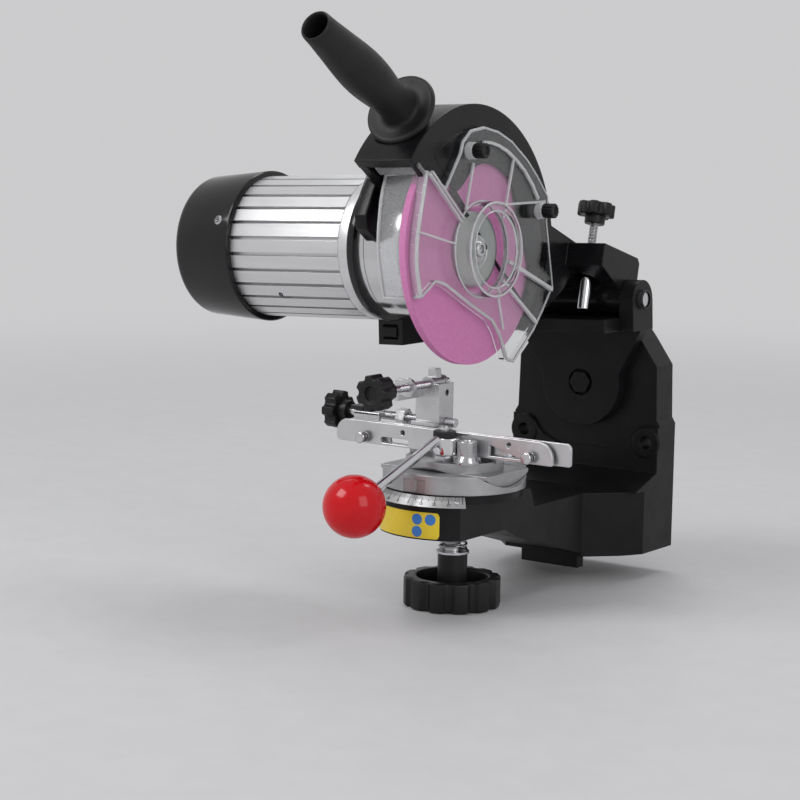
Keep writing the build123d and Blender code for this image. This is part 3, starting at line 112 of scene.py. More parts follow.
def build_rounded_edges():
    """A softened normal along every edge, and a broken mask of where the finish has rubbed thin."""
    tree, given, result = effect(
        "rounded edges",
        [("Place", "Vector", None), ("Radius", "Float", 0.0006), ("Rub", "Float", 0.4)],
        [("Normal", "Vector"), ("Rubbed", "Float")],
    )
    soft = shader(tree, "Bevel", {"samples": 6}, Radius=given["Radius"])
    true = shader(tree, "NewGeometry")
    match = shader(tree, "VectorMath", {"operation": "DOT_PRODUCT"}, _0=soft.outputs[0],
                   _1=true.outputs["Normal"])
    turned = shader(tree, "MapRange", Value=match.outputs["Value"], _1=0.985, _2=0.86)
    chips = shader(tree, "TexNoise", Vector=given["Place"], Scale=420.0, Detail=4.0, Roughness=0.7)
    broken = shader(tree, "MapRange", Value=chips.outputs["Fac"], _1=0.42, _2=0.62)
    worn = shader(tree, "Math", {"operation": "MULTIPLY"}, _0=turned.outputs[0], _1=broken.outputs[0])
    amount = shader(tree, "Math", {"operation": "MULTIPLY", "use_clamp": True}, _0=worn.outputs[0],
                    _1=given["Rub"])
    tree.links.new(soft.outputs[0], result["Normal"])
    tree.links.new(amount.outputs[0], result["Rubbed"])
    return tree


SURFACE_GRAIN = build_surface_grain()
HANDLED_MARKS = build_handled_marks()
ROUNDED_EDGES = build_rounded_edges()


def rgba(colour):
    """A colour with its alpha."""
    return (*colour, 1.0)


def finish(name, colour, mottle, rough, grain, rub=(0.0005, 0.0), rubbed=None, metallic=0.0, coat=0.0,
           coat_rough=0.06, specular=0.5, stretch=(1, 1, 1), scratches=0.06, mottle_scale=40.0, bump=1.0):
    """A made surface: two tones, uneven shine, a fine bump and softened, slightly rubbed edges.

    rough is a low and a high value, grain a noise scale and a depth in metres, and rub the radius
    in metres that edges are softened by and how much of their finish is gone."""
    material = bpy.data.materials.new(name)
    material.use_nodes = True
    tree = material.node_tree
    surface = tree.nodes["Principled BSDF"]
    place = shader(tree, "TexCoord").outputs["Object"]
    skin = shader(tree, "Group", {"node_tree": SURFACE_GRAIN}, Place=place, Stretch=stretch, Scale=grain[0],
                  Mottle_Scale=mottle_scale)
    marks = shader(tree, "Group", {"node_tree": HANDLED_MARKS}, Place=place, Low=rough[0], High=rough[1],
                   Scratches=scratches)
    edges = shader(tree, "Group", {"node_tree": ROUNDED_EDGES}, Place=place, Radius=rub[0], Rub=rub[1])
    tones = shader(tree, "Mix", {"data_type": "RGBA"}, _0=skin.outputs["Tone"], _6=rgba(colour),
                   _7=rgba(mottle))
    rubbed_tone = shader(
        tree, "Mix", {"data_type": "RGBA"}, _0=edges.outputs["Rubbed"], _6=tones.outputs[2],
        _7=rgba(rubbed or mottle)
    )
    relief = shader(tree, "Bump", Strength=bump, Distance=grain[1], Height=skin.outputs["Height"],
                    Normal=edges.outputs["Normal"])
    tree.links.new(rubbed_tone.outputs[2], surface.inputs["Base Color"])
    tree.links.new(marks.outputs["Roughness"], surface.inputs["Roughness"])
    tree.links.new(relief.outputs[0], surface.inputs["Normal"])
    surface.inputs["Metallic"].default_value = metallic
    surface.inputs["Coat Weight"].default_value = coat
    surface.inputs["Coat Roughness"].default_value = coat_rough
    surface.inputs["Specular IOR Level"].default_value = specular
    return material


def coat_node(name, material):
    """Give a solid of the frame its finish."""
    slots = solids[name].data.materials
    slots.clear()
    slots.append(material)


MM = 0.001


def piece(name, mesh, material, body, replaced=()):
    """Hang a finished mesh on the body that carries it."""
    made = bpy.data.objects.new(name, mesh)
    bpy.context.scene.collection.objects.link(made)
    mesh.materials.clear()
    mesh.materials.append(material)
    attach(made, body)
    if replaced:
        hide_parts(*replaced)
    return made


def shaded(mesh, angle=32.0):
    """Smooth shading with sharp lines where faces meet at more than this angle."""
    mesh.shade_smooth()
    mesh.set_sharp_from_angle(angle=math.radians(angle))
    return mesh


def in_metres(mesh, place=None):
    """Put a mesh that was drawn in millimetres where it belongs."""
    mesh.transform(Matrix.Scale(MM, 4) @ (place or Matrix()))
    return mesh


def finished(name, work, place=None, angle=32.0):
    """End a drawing: a mesh in metres, where it belongs and smoothly shaded."""
    mesh = bpy.data.meshes.new(name)
    work.to_mesh(mesh)
    work.free()
    return shaded(in_metres(mesh, place), angle)


def turned(name, profile, place=None, steps=96, closed=False, angle=32.0):
    """Revolve a profile of (radius, height) points about the local Z axis."""
    work = bmesh.new()
    rings = []
    for radius, height in profile:
        if radius < 1e-6:
            rings.append([work.verts.new((0, 0, height))])
        else:
            ring = []
            for k in range(steps):
                turn = 2 * math.pi * k / steps
                ring.append(work.verts.new((radius * math.cos(turn), radius * math.sin(turn), height)))
            rings.append(ring)
    pairs = list(zip(rings, rings[1:]))
    if closed:
        pairs.append((rings[-1], rings[0]))
    for low, high in pairs:
        for k in range(steps):
            after = (k + 1) % steps
            if len(low) == 1 and len(high) == 1:
                continue
            if len(low) == 1:
                work.faces.new((low[0], high[after], high[k]))
            elif len(high) == 1:
                work.faces.new((low[k], low[after], high[0]))
            else:
                work.faces.new((low[k], low[after], high[after], high[k]))
    bmesh.ops.recalc_face_normals(work, faces=work.faces)
    return finished(name, work, place, angle)


def bent_sheet(name, rows, thick, place=None):
    """A thin bent sheet through rows of points."""
    work = bmesh.new()
    grid = [[work.verts.new(point) for point in row] for row in rows]
    for low, high in zip(grid, grid[1:]):
        for k in range(len(low) - 1):
            work.faces.new((low[k], high[k], high[k + 1], low[k + 1]))
    work.normal_update()
    bmesh.ops.solidify(work, geom=work.faces[:], thickness=thick)
    bmesh.ops.recalc_face_normals(work, faces=work.faces)
    return finished(name, work, place, 40)


def rounded_profile(corners, steps=4):
    """A turning profile whose corners, given as (radius, height, rounding), are eased into arcs."""
    line = []
    for index, (r, h, ease) in enumerate(corners):
        here = Vector((r, h))
        if ease <= 0 or index in (0, len(corners) - 1):
            line.append((r, h))
            continue
        before, after = Vector(corners[index - 1][:2]), Vector(corners[index + 1][:2])
        start = here + (before - here).normalized() * ease
        end = here + (after - here).normalized() * ease
        for k in range(steps + 1):
            t = k / steps
            point = start * (1 - t) ** 2 + here * 2 * t * (1 - t) + end * t**2
            line.append((point.x, point.y))
    return line


def from_curve(curve, place=None, angle=32.0):
    """Turn a curve into a finished mesh and drop the curve."""
    holder = bpy.data.objects.new("drawn curve", curve)
    bpy.context.scene.collection.objects.link(holder)
    evaluated = holder.evaluated_get(bpy.context.evaluated_depsgraph_get())
    mesh = bpy.data.meshes.new_from_object(evaluated)
    bpy.data.objects.remove(holder)
    return shaded(in_metres(mesh, place), angle)


def plate(name, loops, thick, ease, place=None, angle=32.0):
    """A flat plate with rounded edges, cut to the first loop and pierced by the others."""
    curve = bpy.data.curves.new(name, "CURVE")
    curve.dimensions = "2D"
    curve.fill_mode = "BOTH"
    curve.extrude = thick / 2 - ease
    curve.bevel_depth = ease
    curve.bevel_resolution = 2
    curve.offset = -ease
    for loop in loops:
        line = curve.splines.new("POLY")
        line.points.add(len(loop) - 1)
        for point, (x, y) in zip(line.points, loop):
            point.co = (x, y, 0, 1)
        line.use_cyclic_u = True
    return from_curve(curve, place, angle)


def wire(name, points, radius, place=None, closed=False, sides=6):
    """A round bar or wire bent along smooth points."""
    curve = bpy.data.curves.new(name, "CURVE")
    curve.dimensions = "3D"
    curve.bevel_depth = radius
    curve.bevel_resolution = sides
    curve.use_fill_caps = True
    line = curve.splines.new("POLY")
    line.points.add(len(points) - 1)
    for point, spot in zip(line.points, points):
        point.co = (*spot, 1)
    line.use_cyclic_u = closed
    return from_curve(curve, place)


def joined(name, *meshes):
    """Several meshes as one."""
    work = bmesh.new()
    for mesh in meshes:
        work.from_mesh(mesh)
        bpy.data.meshes.remove(mesh)
    mesh = bpy.data.meshes.new(name)
    work.to_mesh(mesh)
    work.free()
    return shaded(mesh)


def circle(radius, steps=48, centre=(0.0, 0.0)):
    """Points round a circle."""
    return [
        (centre[0] + radius * math.cos(2 * math.pi * k / steps),
         centre[1] + radius * math.sin(2 * math.pi * k / steps))
        for k in range(steps)
    ]


def facing(origin, out):
    """A place whose local Z looks along a direction."""
    return Matrix.Translation(Vector(origin)) @ Vector(out).to_track_quat("Z", "Y").to_matrix().to_4x4()


black_enamel = finish(
    "black enamel", (0.007, 0.007, 0.008), (0.011, 0.011, 0.012), (0.30, 0.44), (620.0, 0.00010),
    (0.0011, 0.35), rubbed=(0.03, 0.03, 0.031), specular=0.2, scratches=0.08,
)
coat_node("base_casting", black_enamel)

BOLT_SPACING = 96.6
for side in (-1, 1):
    ear = rounded_profile([(4.3, 0, 0), (4.3, 0.9, 0.3), (10.2, 0.9, 0.7), (10.9, -0.4, 0)])
    piece(
        f"bolt_ear_face_{'left' if side < 0 else 'right'}",
        turned("ear face", ear, facing((side * BOLT_SPACING / 2, -24.0, 0), (0, -1, 0)), 48),
        black_enamel, "base",
    )

# ---------------------------------------------------------------- angle scale
# A strip of satin aluminium is rolled round the front of the turntable's seat and held by two
# domed rivets. Its degree marks and figures are printed in black.
SEAT_AXIS = (0.0, -184.0)
SCALE_LOW = (51.0, -18.5)
SCALE_HIGH = (46.2, -12.5)


def build_degree_marks():
    """Printed degree lines that run out from the vise's axis, longer at every fifth and tenth."""
    tree, given, result = effect("degree marks", [("Place", "Vector", None)], [("Printed", "Float")])
    about = shader(tree, "VectorMath", {"operation": "SUBTRACT"}, _0=given["Place"],
                   _1=(0, SEAT_AXIS[1] * MM, 0))
    parts = shader(tree, "SeparateXYZ", Vector=about.outputs[0])
    turn = shader(tree, "Math", {"operation": "ARCTAN2"}, _0=parts.outputs["X"], _1=parts.outputs["Y"])
    degrees = shader(tree, "Math", {"operation": "DEGREES"}, _0=turn.outputs[0])
    total = None
    for pitch, half, low in ((1.0, 0.16, -14.6), (5.0, 0.22, -15.4), (10.0, 0.28, -16.2)):
        near = shader(tree, "Math", {"operation": "PINGPONG"}, _0=degrees.outputs[0], _1=pitch / 2)
        line = shader(tree, "Math", {"operation": "LESS_THAN"}, _0=near.outputs[0], _1=half)
        high_enough = shader(tree, "Math", {"operation": "GREATER_THAN"}, _0=parts.outputs["Z"], _1=low * MM)
        mark = shader(tree, "Math", {"operation": "MULTIPLY"}, _0=line.outputs[0], _1=high_enough.outputs[0])
        if total is None:
            total = mark
        else:
            total = shader(tree, "Math", {"operation": "MAXIMUM"}, _0=total.outputs[0], _1=mark.outputs[0])
    tree.links.new(total.outputs[0], result["Printed"])
    return tree


satin_scale = finish(
    "satin aluminium strip", (0.46, 0.46, 0.46), (0.40, 0.40, 0.41), (0.30, 0.42), (1400.0, 0.00002),
    (0.0002, 0.0), metallic=0.9
)
marks_tree = satin_scale.node_tree
marks = shader(
    marks_tree, "Group", {"node_tree": build_degree_marks()},
    Place=marks_tree.nodes["Texture Coordinate"].outputs["Object"]
)
plain = marks_tree.nodes["Principled BSDF"].inputs["Base Color"].links[0].from_socket
inked = shader(marks_tree, "Mix", {"data_type": "RGBA"}, _0=marks.outputs[0], _6=plain,
               _7=(0.012, 0.012, 0.012, 1))
marks_tree.links.new(inked.outputs[2], marks_tree.nodes["Principled BSDF"].inputs["Base Color"])
coat_node("angle_scale_plate", satin_scale)

scale_ink = finish("scale ink", (0.012, 0.012, 0.012), (0.02, 0.02, 0.02), (0.4, 0.5), (1200.0, 0.00001))
slope = math.atan2(SCALE_HIGH[1] - SCALE_LOW[1], SCALE_LOW[0] - SCALE_HIGH[0])
figures = []
for degrees in range(-30, 31, 10):
    lettering = bpy.data.curves.new("scale figure", "FONT")
    lettering.body = str(abs(degrees))
    lettering.size = 2.6
    lettering.align_x = "CENTER"
    lettering.extrude = 0.03
    middle = 0.30
    radius = SCALE_LOW[0] + (SCALE_HIGH[0] - SCALE_LOW[0]) * middle + 1.02
    height = SCALE_LOW[1] + (SCALE_HIGH[1] - SCALE_LOW[1]) * middle
    spin = (Matrix.Translation((SEAT_AXIS[0], SEAT_AXIS[1], 0))
            @ Matrix.Rotation(math.radians(degrees), 4, "Z"))
    lay = (Matrix.Translation((0, -radius, height)) @ Matrix.Rotation(slope, 4, "X")
           @ Matrix.Translation((0, -1.0, 0.05)))
    figures.append(from_curve(lettering, spin @ lay))
piece("angle_scale_figures", joined("scale figures", *figures), scale_ink, "base")

rivet_silver = finish(
    "rivet metal", (0.55, 0.55, 0.56), (0.48, 0.48, 0.49), (0.22, 0.34), (1500.0, 0.00002), (0.0002, 0.0),
    metallic=1.0
)
domes = []
for degrees in (-146.0, -54.0):
    turn = math.radians(degrees)
    mid_r = (SCALE_LOW[0] + SCALE_HIGH[0]) / 2 + 1.0
    mid_z = (SCALE_LOW[1] + SCALE_HIGH[1]) / 2
    out = Vector((math.cos(turn) * math.sin(slope), math.sin(turn) * math.sin(slope), math.cos(slope)))
    at = (SEAT_AXIS[0] + mid_r * math.cos(turn), SEAT_AXIS[1] + mid_r * math.sin(turn), mid_z)
    dome = [(1.5, -0.4), (1.5, 0.15), (1.35, 0.5), (0.95, 0.8), (0.45, 0.92), (0, 0.95)]
    domes.append(turned("rivet", dome, facing(at, out), 28, angle=60))
piece("scale_rivet_domes", joined("rivet domes", *domes), rivet_silver, "base",
      ["scale_rivets"])

# ---------------------------------------------------------------- front label
# A yellow vinyl label with rounded corners is stuck round the front of the casting below the
# scale. It carries three plain blue discs and no words.
LABEL_R = 48.25
LABEL_TURN = (-143.0, -66.5)
LABEL_Z = (-39.0, -22.6)
LABEL_CORNER = 2.2
LABEL_ROWS = 6
DISC_R = 3.5


def wrapped(name, columns, radius, thick):
    """A thin sheet round the seat's axis, from columns of (degrees, low, high)."""
    rows = []
    for degrees, low, high in columns:
        turn = math.radians(degrees)
        x, y = SEAT_AXIS[0] + radius * math.cos(turn), SEAT_AXIS[1] + radius * math.sin(turn)
        rows.append([(x, y, low + (high - low) * k / LABEL_ROWS) for k in range(LABEL_ROWS + 1)])
    return bent_sheet(name, rows, -thick)


label_columns = []
for k in range(81):
    degrees = LABEL_TURN[0] + (LABEL_TURN[1] - LABEL_TURN[0]) * k / 80
    inset = min(degrees - LABEL_TURN[0], LABEL_TURN[1] - degrees) * math.pi / 180 * LABEL_R
    cut = 0.0
    if inset < LABEL_CORNER:
        cut = LABEL_CORNER - math.sqrt(max(LABEL_CORNER**2 - (LABEL_CORNER - inset) ** 2, 0))
    label_columns.append((degrees, LABEL_Z[0] + cut, LABEL_Z[1] - cut))
yellow_vinyl = finish(
    "yellow vinyl", (0.83, 0.62, 0.015), (0.76, 0.56, 0.012), (0.26, 0.36), (500.0, 0.00002), (0.0001, 0.0),
    coat=0.3
)
piece(
    "front_label_sheet", wrapped("label sheet", label_columns, LABEL_R, 0.3), yellow_vinyl, "base",
    ["front_colour_plate"],
)
blue_ink = finish("blue label ink", (0.03, 0.20, 0.60), (0.025, 0.17, 0.54), (0.25, 0.33), (500.0, 0.00002),
                  coat=0.3)
discs = []
for degrees, z in ((-84.0, -27.2), (-73.5, -27.0), (-84.0, -34.9)):
    columns = []
    for k in range(25):
        angle = math.pi * k / 24
        across = -math.cos(angle) * DISC_R
        half = max(math.sin(angle) * DISC_R, 0.02)
        columns.append((degrees + math.degrees(across / LABEL_R), z - half, z + half))
    discs.append(wrapped("label disc", columns, LABEL_R + 0.02, 0.33))
piece("front_label_discs", joined("label discs", *discs), blue_ink, "base")

# ---------------------------------------------------------------- tilt pointer and its scale
# A small needle of zinc plated steel stands on the wall beside the swivel disc. It shows how far
# the head leans.
bright_steel = finish(
    "zinc plated steel", (0.66, 0.66, 0.67), (0.56, 0.56, 0.58), (0.16, 0.30), (1100.0, 0.00003),
    (0.0004, 0.15), rubbed=(0.8, 0.8, 0.8), metallic=1.0, scratches=0.15,
)
NEEDLE = [(-33.4, 35.4), (-32.4, 35.2), (-30.6, 40.6), (-31.4, 41.0)]
needle = plate("needle", [NEEDLE], 1.2, 0.2,
               Matrix.Translation((0, -22.6, 0)) @ Matrix.Rotation(math.radians(90), 4, "X"))
piece("tilt_pointer_needle", needle, bright_steel, "base", ["tilt_pointer"])

# ---------------------------------------------------------------- turntable
# The turntable is an aluminium casting turned smooth on its rim. A curved saddle across its top
# lets the vise tip, and the threaded stud below it passes through the arm.
cast_aluminium = finish(
    "turned cast aluminium", (0.46, 0.46, 0.47), (0.38, 0.38, 0.39), (0.36, 0.46), (900.0, 0.00004),
    (0.0008, 0.2), rubbed=(0.62, 0.62, 0.62), metallic=0.92, scratches=0.05, mottle_scale=70.0,
)
coat_node("turntable_disc", cast_aluminium)
coat_node("turntable_stud", bright_steel)

# ---------------------------------------------------------------- vise lock knob
# A black nylon cup knob with a scalloped rim threads onto the turntable's stud below the arm. A
# steel washer and a coil spring stand between the knob's stem and the casting.
LOCK_R = 31.0
LOCK_BOTTOM = -90.0
LOCK_HEIGHT = 19.0
black_nylon = finish(
    "black moulded nylon", (0.008, 0.008, 0.009), (0.012, 0.012, 0.013), (0.34, 0.46), (1500.0, 0.00004),
    (0.0007, 0.25), rubbed=(0.03, 0.03, 0.031), specular=0.3,
)
rim = []
for k in range(192):
    turn = 2 * math.pi * k / 192
    phase = (k / 16 + 0.5) % 1.0 - 0.5
    bite = 2.7 * max(0.0, 1 - (phase / 0.21) ** 2) ** 0.6 if abs(phase) < 0.21 else 0.0
    rim.append(((LOCK_R - bite) * math.cos(turn), (LOCK_R - bite) * math.sin(turn)))
cup_wall = plate(
    "cup wall", [rim, circle(22.8, 96)], LOCK_HEIGHT, 1.4,
    Matrix.Translation((SEAT_AXIS[0], SEAT_AXIS[1], LOCK_BOTTOM + LOCK_HEIGHT / 2)), 40,
)
stem = rounded_profile(
    [(0, 1.5, 0), (23.5, 1.5, 0), (23.5, 4.2, 0), (11.5, 4.6, 1.5), (9.5, 8.0, 2.0), (9.5, 33.5, 0.8),
     (5.0, 33.5, 0)]
)
cup_floor = turned("cup floor", stem, Matrix.Translation((SEAT_AXIS[0], SEAT_AXIS[1], LOCK_BOTTOM)))
piece("lock_knob_cup", joined("lock knob", cup_wall, cup_floor), black_nylon, "lock_knob",
      ["vise_lock_knob"])
spring_steel = finish(
    "spring steel", (0.50, 0.50, 0.51), (0.40, 0.40, 0.42), (0.16, 0.28), (1200.0, 0.00002), (0.0002, 0.0),
    metallic=1.0
)
coat_node("lock_spring", spring_steel)
coat_node("lock_spring_washer", bright_steel)

# ---------------------------------------------------------------- vise cradle and rear rail
# The cradle is a cast block whose round keel sits in the turntable's saddle. The rear rail is
# welded to it: thick steel strip, bright zinc plated, with a bent tab at its left end.
coat_node("vise_cradle", cast_aluminium)
bright_zinc = finish(
    "bright zinc plate", (0.66, 0.66, 0.67), (0.59, 0.59, 0.60), (0.26, 0.36), (700.0, 0.00003),
    (0.0006, 0.2), rubbed=(0.72, 0.72, 0.72), metallic=0.92, scratches=0.08, mottle_scale=60.0,
)
RAIL_Z = (8.5, 23.0)
RAIL_THICK = 2.5


def arc(centre, radius, start, stop, steps=10):
    """Points along part of a circle, in degrees."""
    turns = [math.radians(start + (stop - start) * k / steps) for k in range(steps + 1)]
    return [(centre[0] + radius * math.cos(t), centre[1] + radius * math.sin(t)) for t in turns]


def rail_loops(low_x, high_x, pin_holes, near_round, far_round):
    """A rail's face: a round at each upper end, a long window, a slot and its pin holes."""
    low, high = RAIL_Z
    outline = arc((low_x + near_round, high - near_round), near_round, 180, 90)
    outline += arc((high_x - far_round, high - far_round), far_round, 90, 0)
    outline += arc((high_x - 1.5, low + 1.5), 1.5, 0, -90, 4)
    outline += arc((low_x + 3.0, low + 3.0), 3.0, -90, -180, 5)
    window = [(high_x - 22, low + 2), (high_x - 45, low + 8.6), (high_x - 46, low + 8.2),
              (high_x - 46, low + 2)]
    slot = arc((low_x + 37, low + 3.5), 1.9, 90, 270) + arc((low_x + 55, low + 3.5), 1.9, -90, 90)
    holes = [circle(1.7, 20, (low_x + 52, high - 5)), circle(1.7, 20, (high_x - 32, high - 4.4))]
    return [outline, window, slot, *holes, *[circle(r, 28, (x, 12.5)) for x, r in pin_holes]]


def on_front(y):
    """A place whose local X and Y are the tool's X and Z, at a depth y."""
    return Matrix.Translation((0, y, 0)) @ Matrix.Rotation(math.radians(90), 4, "X")


FRONT_RAIL_Y = -192.35
REAR_RAIL_Y = -187.65
PIN_X = (-64.0, 62.0)
front_strip = plate(
    "front strip", rail_loops(-86.0, 78.0, [(x, 2.8) for x in PIN_X], 8.5, 11.0), RAIL_THICK, 0.45,
    on_front(FRONT_RAIL_Y)
)
piece("front_rail_strip", front_strip, bright_zinc, "front_rail", ["front_rail"])
rear_strip = plate(
    "rear strip", rail_loops(-82.0, 88.0, [(x, 2.5) for x in PIN_X], 5.5, 4.0), RAIL_THICK, 0.45,
    on_front(REAR_RAIL_Y)
)
bent_tab = plate(
    "bent tab",
    [[(-76, -188.9), (-56, -188.9), (-56, -182.4), (-57.5, -180.9), (-74.5, -180.9), (-76, -182.4)],
     circle(1.6, 20, (-66, -184.2))],
    2.0, 0.4, Matrix.Translation((0, 0, 27.0)),
)
tab_root = plate("tab root", [[(-76, 20), (-56, 20), (-56, 27.6), (-76, 27.6)]], RAIL_THICK, 0.4,
                 on_front(REAR_RAIL_Y))
piece("rear_rail_strip", joined("rear rail", rear_strip, bent_tab, tab_root), bright_zinc, "vise",
      ["rear_rail"])

# Two guide pins keep the jaws level: bright studs with a domed head and a dark sleeve.
dark_steel = finish(
    "blackened steel", (0.035, 0.035, 0.038), (0.055, 0.055, 0.058), (0.30, 0.44), (1000.0, 0.00004),
    (0.0005, 0.4), rubbed=(0.22, 0.22, 0.22), metallic=0.9,
)
studs, sleeves = [], []
for x in PIN_X:
    place = facing((x, -186.4, 12.5), (0, -1, 0))
    stud = rounded_profile([(0, -2.0, 0), (2.5, -2.0, 0), (2.5, 11.7, 0), (3.8, 11.7, 0.2), (3.8, 13.2, 1.2),
                            (0, 13.2, 0)])
    studs.append(turned("guide stud", stud, place, 36))
    sleeve = rounded_profile([(2.5, 10.0, 0), (3.4, 10.0, 0.2), (3.4, 11.7, 0.2), (2.5, 11.7, 0)])
    sleeves.append(turned("guide sleeve", sleeve, place, 36))
piece("jaw_guide_studs", joined("guide studs", *studs), bright_steel, "vise",
      ["jaw_guide_pins"])
piece("jaw_guide_sleeves", joined("guide sleeves", *sleeves), dark_steel, "vise")

# ---------------------------------------------------------------- cam and its posts
# The cam hub turns on a post with a hexagonal foot and squeezes the front rail against the rear
# one. A second, round post with a domed foot guides the jaw.
CAM = (4.0, -202.0)


def hexagon(across, turn=0.0):
    """The corners of a hexagon of a given corner radius."""
    return [(across * math.cos(math.radians(60 * k + turn)),
             across * math.sin(math.radians(60 * k + turn))) for k in range(6)]


post = rounded_profile([(0, 5.5, 0), (3.0, 5.5, 0), (3.0, 26.6, 0), (2.2, 27.5, 0.4), (0, 27.5, 0)])
foot_nut = plate("foot nut", [hexagon(6.5)], 3.7, 0.4, Matrix.Translation((CAM[0], CAM[1], 7.35)))
piece(
    "cam_post_with_nut",
    joined("cam post", turned("post", post, Matrix.Translation((*CAM, 0)), 36), foot_nut), bright_steel,
    "vise", ["cam_post"],
)
chromed = finish(
    "polished chrome", (0.74, 0.74, 0.75), (0.66, 0.66, 0.68), (0.06, 0.15), (700.0, 0.00001), (0.0004, 0.0),
    metallic=1.0, scratches=0.12,
)
oval = [(8.9 * math.cos(math.pi * k / 48) + 1.3, 7.2 * math.sin(math.pi * k / 48)) for k in range(96)]
hub_mesh = plate("cam hub", [oval, circle(3.1, 48)], 11.0, 0.8, Matrix.Translation((*CAM, 15.0)))
piece("cam_hub_turned", hub_mesh, chromed, "cam_lever", ["cam_hub"])
knurl = []
for k in range(180):
    turn = 2 * math.pi * k / 180
    radius = 7.1 - (0.28 if k % 5 in (2, 3) else 0.0)
    knurl.append((radius * math.cos(turn), radius * math.sin(turn)))
collar = plate("cam collar", [knurl, circle(3.1, 36)], 4.0, 0.45, Matrix.Translation((*CAM, 22.5)))
piece("cam_collar_knurled", collar, dark_steel, "cam_lever", ["cam_collar"])
guide = rounded_profile(
    [(0, 5.5, 0), (8.0, 5.5, 0), (8.0, 7.0, 0.5), (6.4, 10.4, 0.6), (6.2, 10.6, 0), (6.2, 20.0, 0.9),
     (3.2, 20.0, 0.3), (2.6, 18.6, 0.3), (0, 18.6, 0)]
)
piece(
    "guide_post_turned", turned("guide post", guide, Matrix.Translation((21.5, -202.5, 0)), 56), spring_steel,
    "vise", ["guide_post"],
)

# The lever is a polished rod screwed into the cam, with a glossy red ball of moulded phenolic at
# its end. A faint mould seam runs round the ball.
LEVER_DROP = math.radians(27.5)
LEVER_SWING = math.radians(-14.0)
lever_way = Vector(
    (math.sin(LEVER_SWING) * math.cos(LEVER_DROP), -math.cos(LEVER_SWING) * math.cos(LEVER_DROP),
     -math.sin(LEVER_DROP))
)
lever_root = Vector((*CAM, 22.0)) + lever_way * 5.0
lever_tip = Vector((*CAM, 22.0)) + lever_way * 82.0
BALL_R = 19.5
SEAM_AT = 30
SEAM_DEPTH = 0.10
rod_line = rounded_profile([(0, 0, 0), (3.0, 0, 0), (3.0, 60.5, 0), (3.6, 62.5, 0.4), (3.6, 66.0, 0),
                            (0, 66.0, 0)])
piece(
    "cam_lever_bar", turned("lever bar", rod_line, facing(lever_root, lever_way), 36), chromed, "cam_lever",
    ["cam_lever_rod"],
)
seam_ball = []
for k in range(65):
    lift = -math.pi / 2 + math.pi * k / 64
    radius = BALL_R - (SEAM_DEPTH if k == SEAM_AT else 0.0)
    seam_ball.append((radius * math.cos(lift), radius * math.sin(lift)))
seam_ball[0] = (3.4, seam_ball[0][1] + 0.55)
seam_ball[-1] = (0, BALL_R)
red_gloss = finish(
    "red phenolic", (0.66, 0.002, 0.008), (0.62, 0.002, 0.007), (0.10, 0.18), (300.0, 0.00001), (0.0005, 0.0),
    specular=0.35, scratches=0.03,
)
piece(
    "red_ball_moulded", turned("red ball", seam_ball, facing(lever_tip, lever_way), 128, angle=60), red_gloss,
    "cam_lever", ["red_ball_knob"],
)

# ---------------------------------------------------------------- chain stop
# A bent zinc-plated bracket slides along the rear rail and carries the pawl that each cutter
# rests on. A long screw with a star knob moves it, and a second knob clamps the pawl's screw.
coat_node("chain_stop_bracket", bright_zinc)
coat_node("chain_pawl", bright_zinc)
coat_node("screw_bearing_block", dark_steel)


def threaded(name, start, stop, radius, pitch, plain=0.0):
    """A threaded bar between two points: a plain length first, then a helical thread."""
    begin, end = Vector(start), Vector(stop)
    length = (end - begin).length
    work = bmesh.new()
    steps, per_turn = 20, 5
    rows = max(int((length - plain) / pitch * per_turn), 4)
    heights = [0.0, max(plain, 0.01)]
    heights += [plain + 0.02 + (length - plain - 0.04) * k / rows for k in range(rows + 1)]
    heights.append(length)
    depth = pitch * 0.5
    rings = []
    for index, height in enumerate(heights):
        ring = []
        for k in range(steps):
            cut = 0.0
            if 1 < index < len(heights) - 1:
                phase = (height / pitch - k / steps) % 1.0
                cut = depth * abs(2 * phase - 1)
            if index == len(heights) - 1:
                cut = depth
            turn = 2 * math.pi * k / steps
            ring.append(work.verts.new(((radius - cut) * math.cos(turn), (radius - cut) * math.sin(turn),
                                        height)))
        rings.append(ring)
    for low, high in zip(rings, rings[1:]):
        for k in range(steps):
            after = (k + 1) % steps
            work.faces.new((low[k], low[after], high[after], high[k]))
    work.faces.new(rings[0][::-1])
    work.faces.new(rings[-1])
    return finished(name, work, facing(begin, end - begin), 50)


LOBES = 7
LOBE_STEPS = 30


def star_knob(name, face, back, radius):
    """A seven-lobed moulded knob between its face and the end of its hub."""
    begin, end = Vector(face), Vector(back)
    length = (end - begin).length
    place = facing(begin, end - begin)
    head = length * 0.62
    lobes = []
    for k in range(LOBES * LOBE_STEPS):
        phase = (k / LOBE_STEPS + 0.5) % 1.0 - 0.5
        dip = radius * 0.19 * max(0.0, 1 - (phase / 0.27) ** 2) ** 0.75 if abs(phase) < 0.27 else 0.0
        turn = 2 * math.pi * k / (LOBES * LOBE_STEPS)
        lobes.append(((radius - dip) * math.cos(turn), (radius - dip) * math.sin(turn)))
    crown = plate("knob crown", [lobes, circle(radius * 0.5, 56)], head, 0.9,
                  place @ Matrix.Translation((0, 0, head / 2)), 40)
    hub_line = rounded_profile(
        [(0, 2.4, 0), (radius * 0.4, 2.4, 0.3), (radius * 0.42, 0.2, 0.3), (radius * 0.52, 0.2, 0),
         (radius * 0.52, head, 0), (radius * 0.56, head, 0), (radius * 0.54, length, 0.5),
         (radius * 0.2, length, 0)]
    )
    return joined(name, crown, turned("knob hub", hub_line, place, 56))


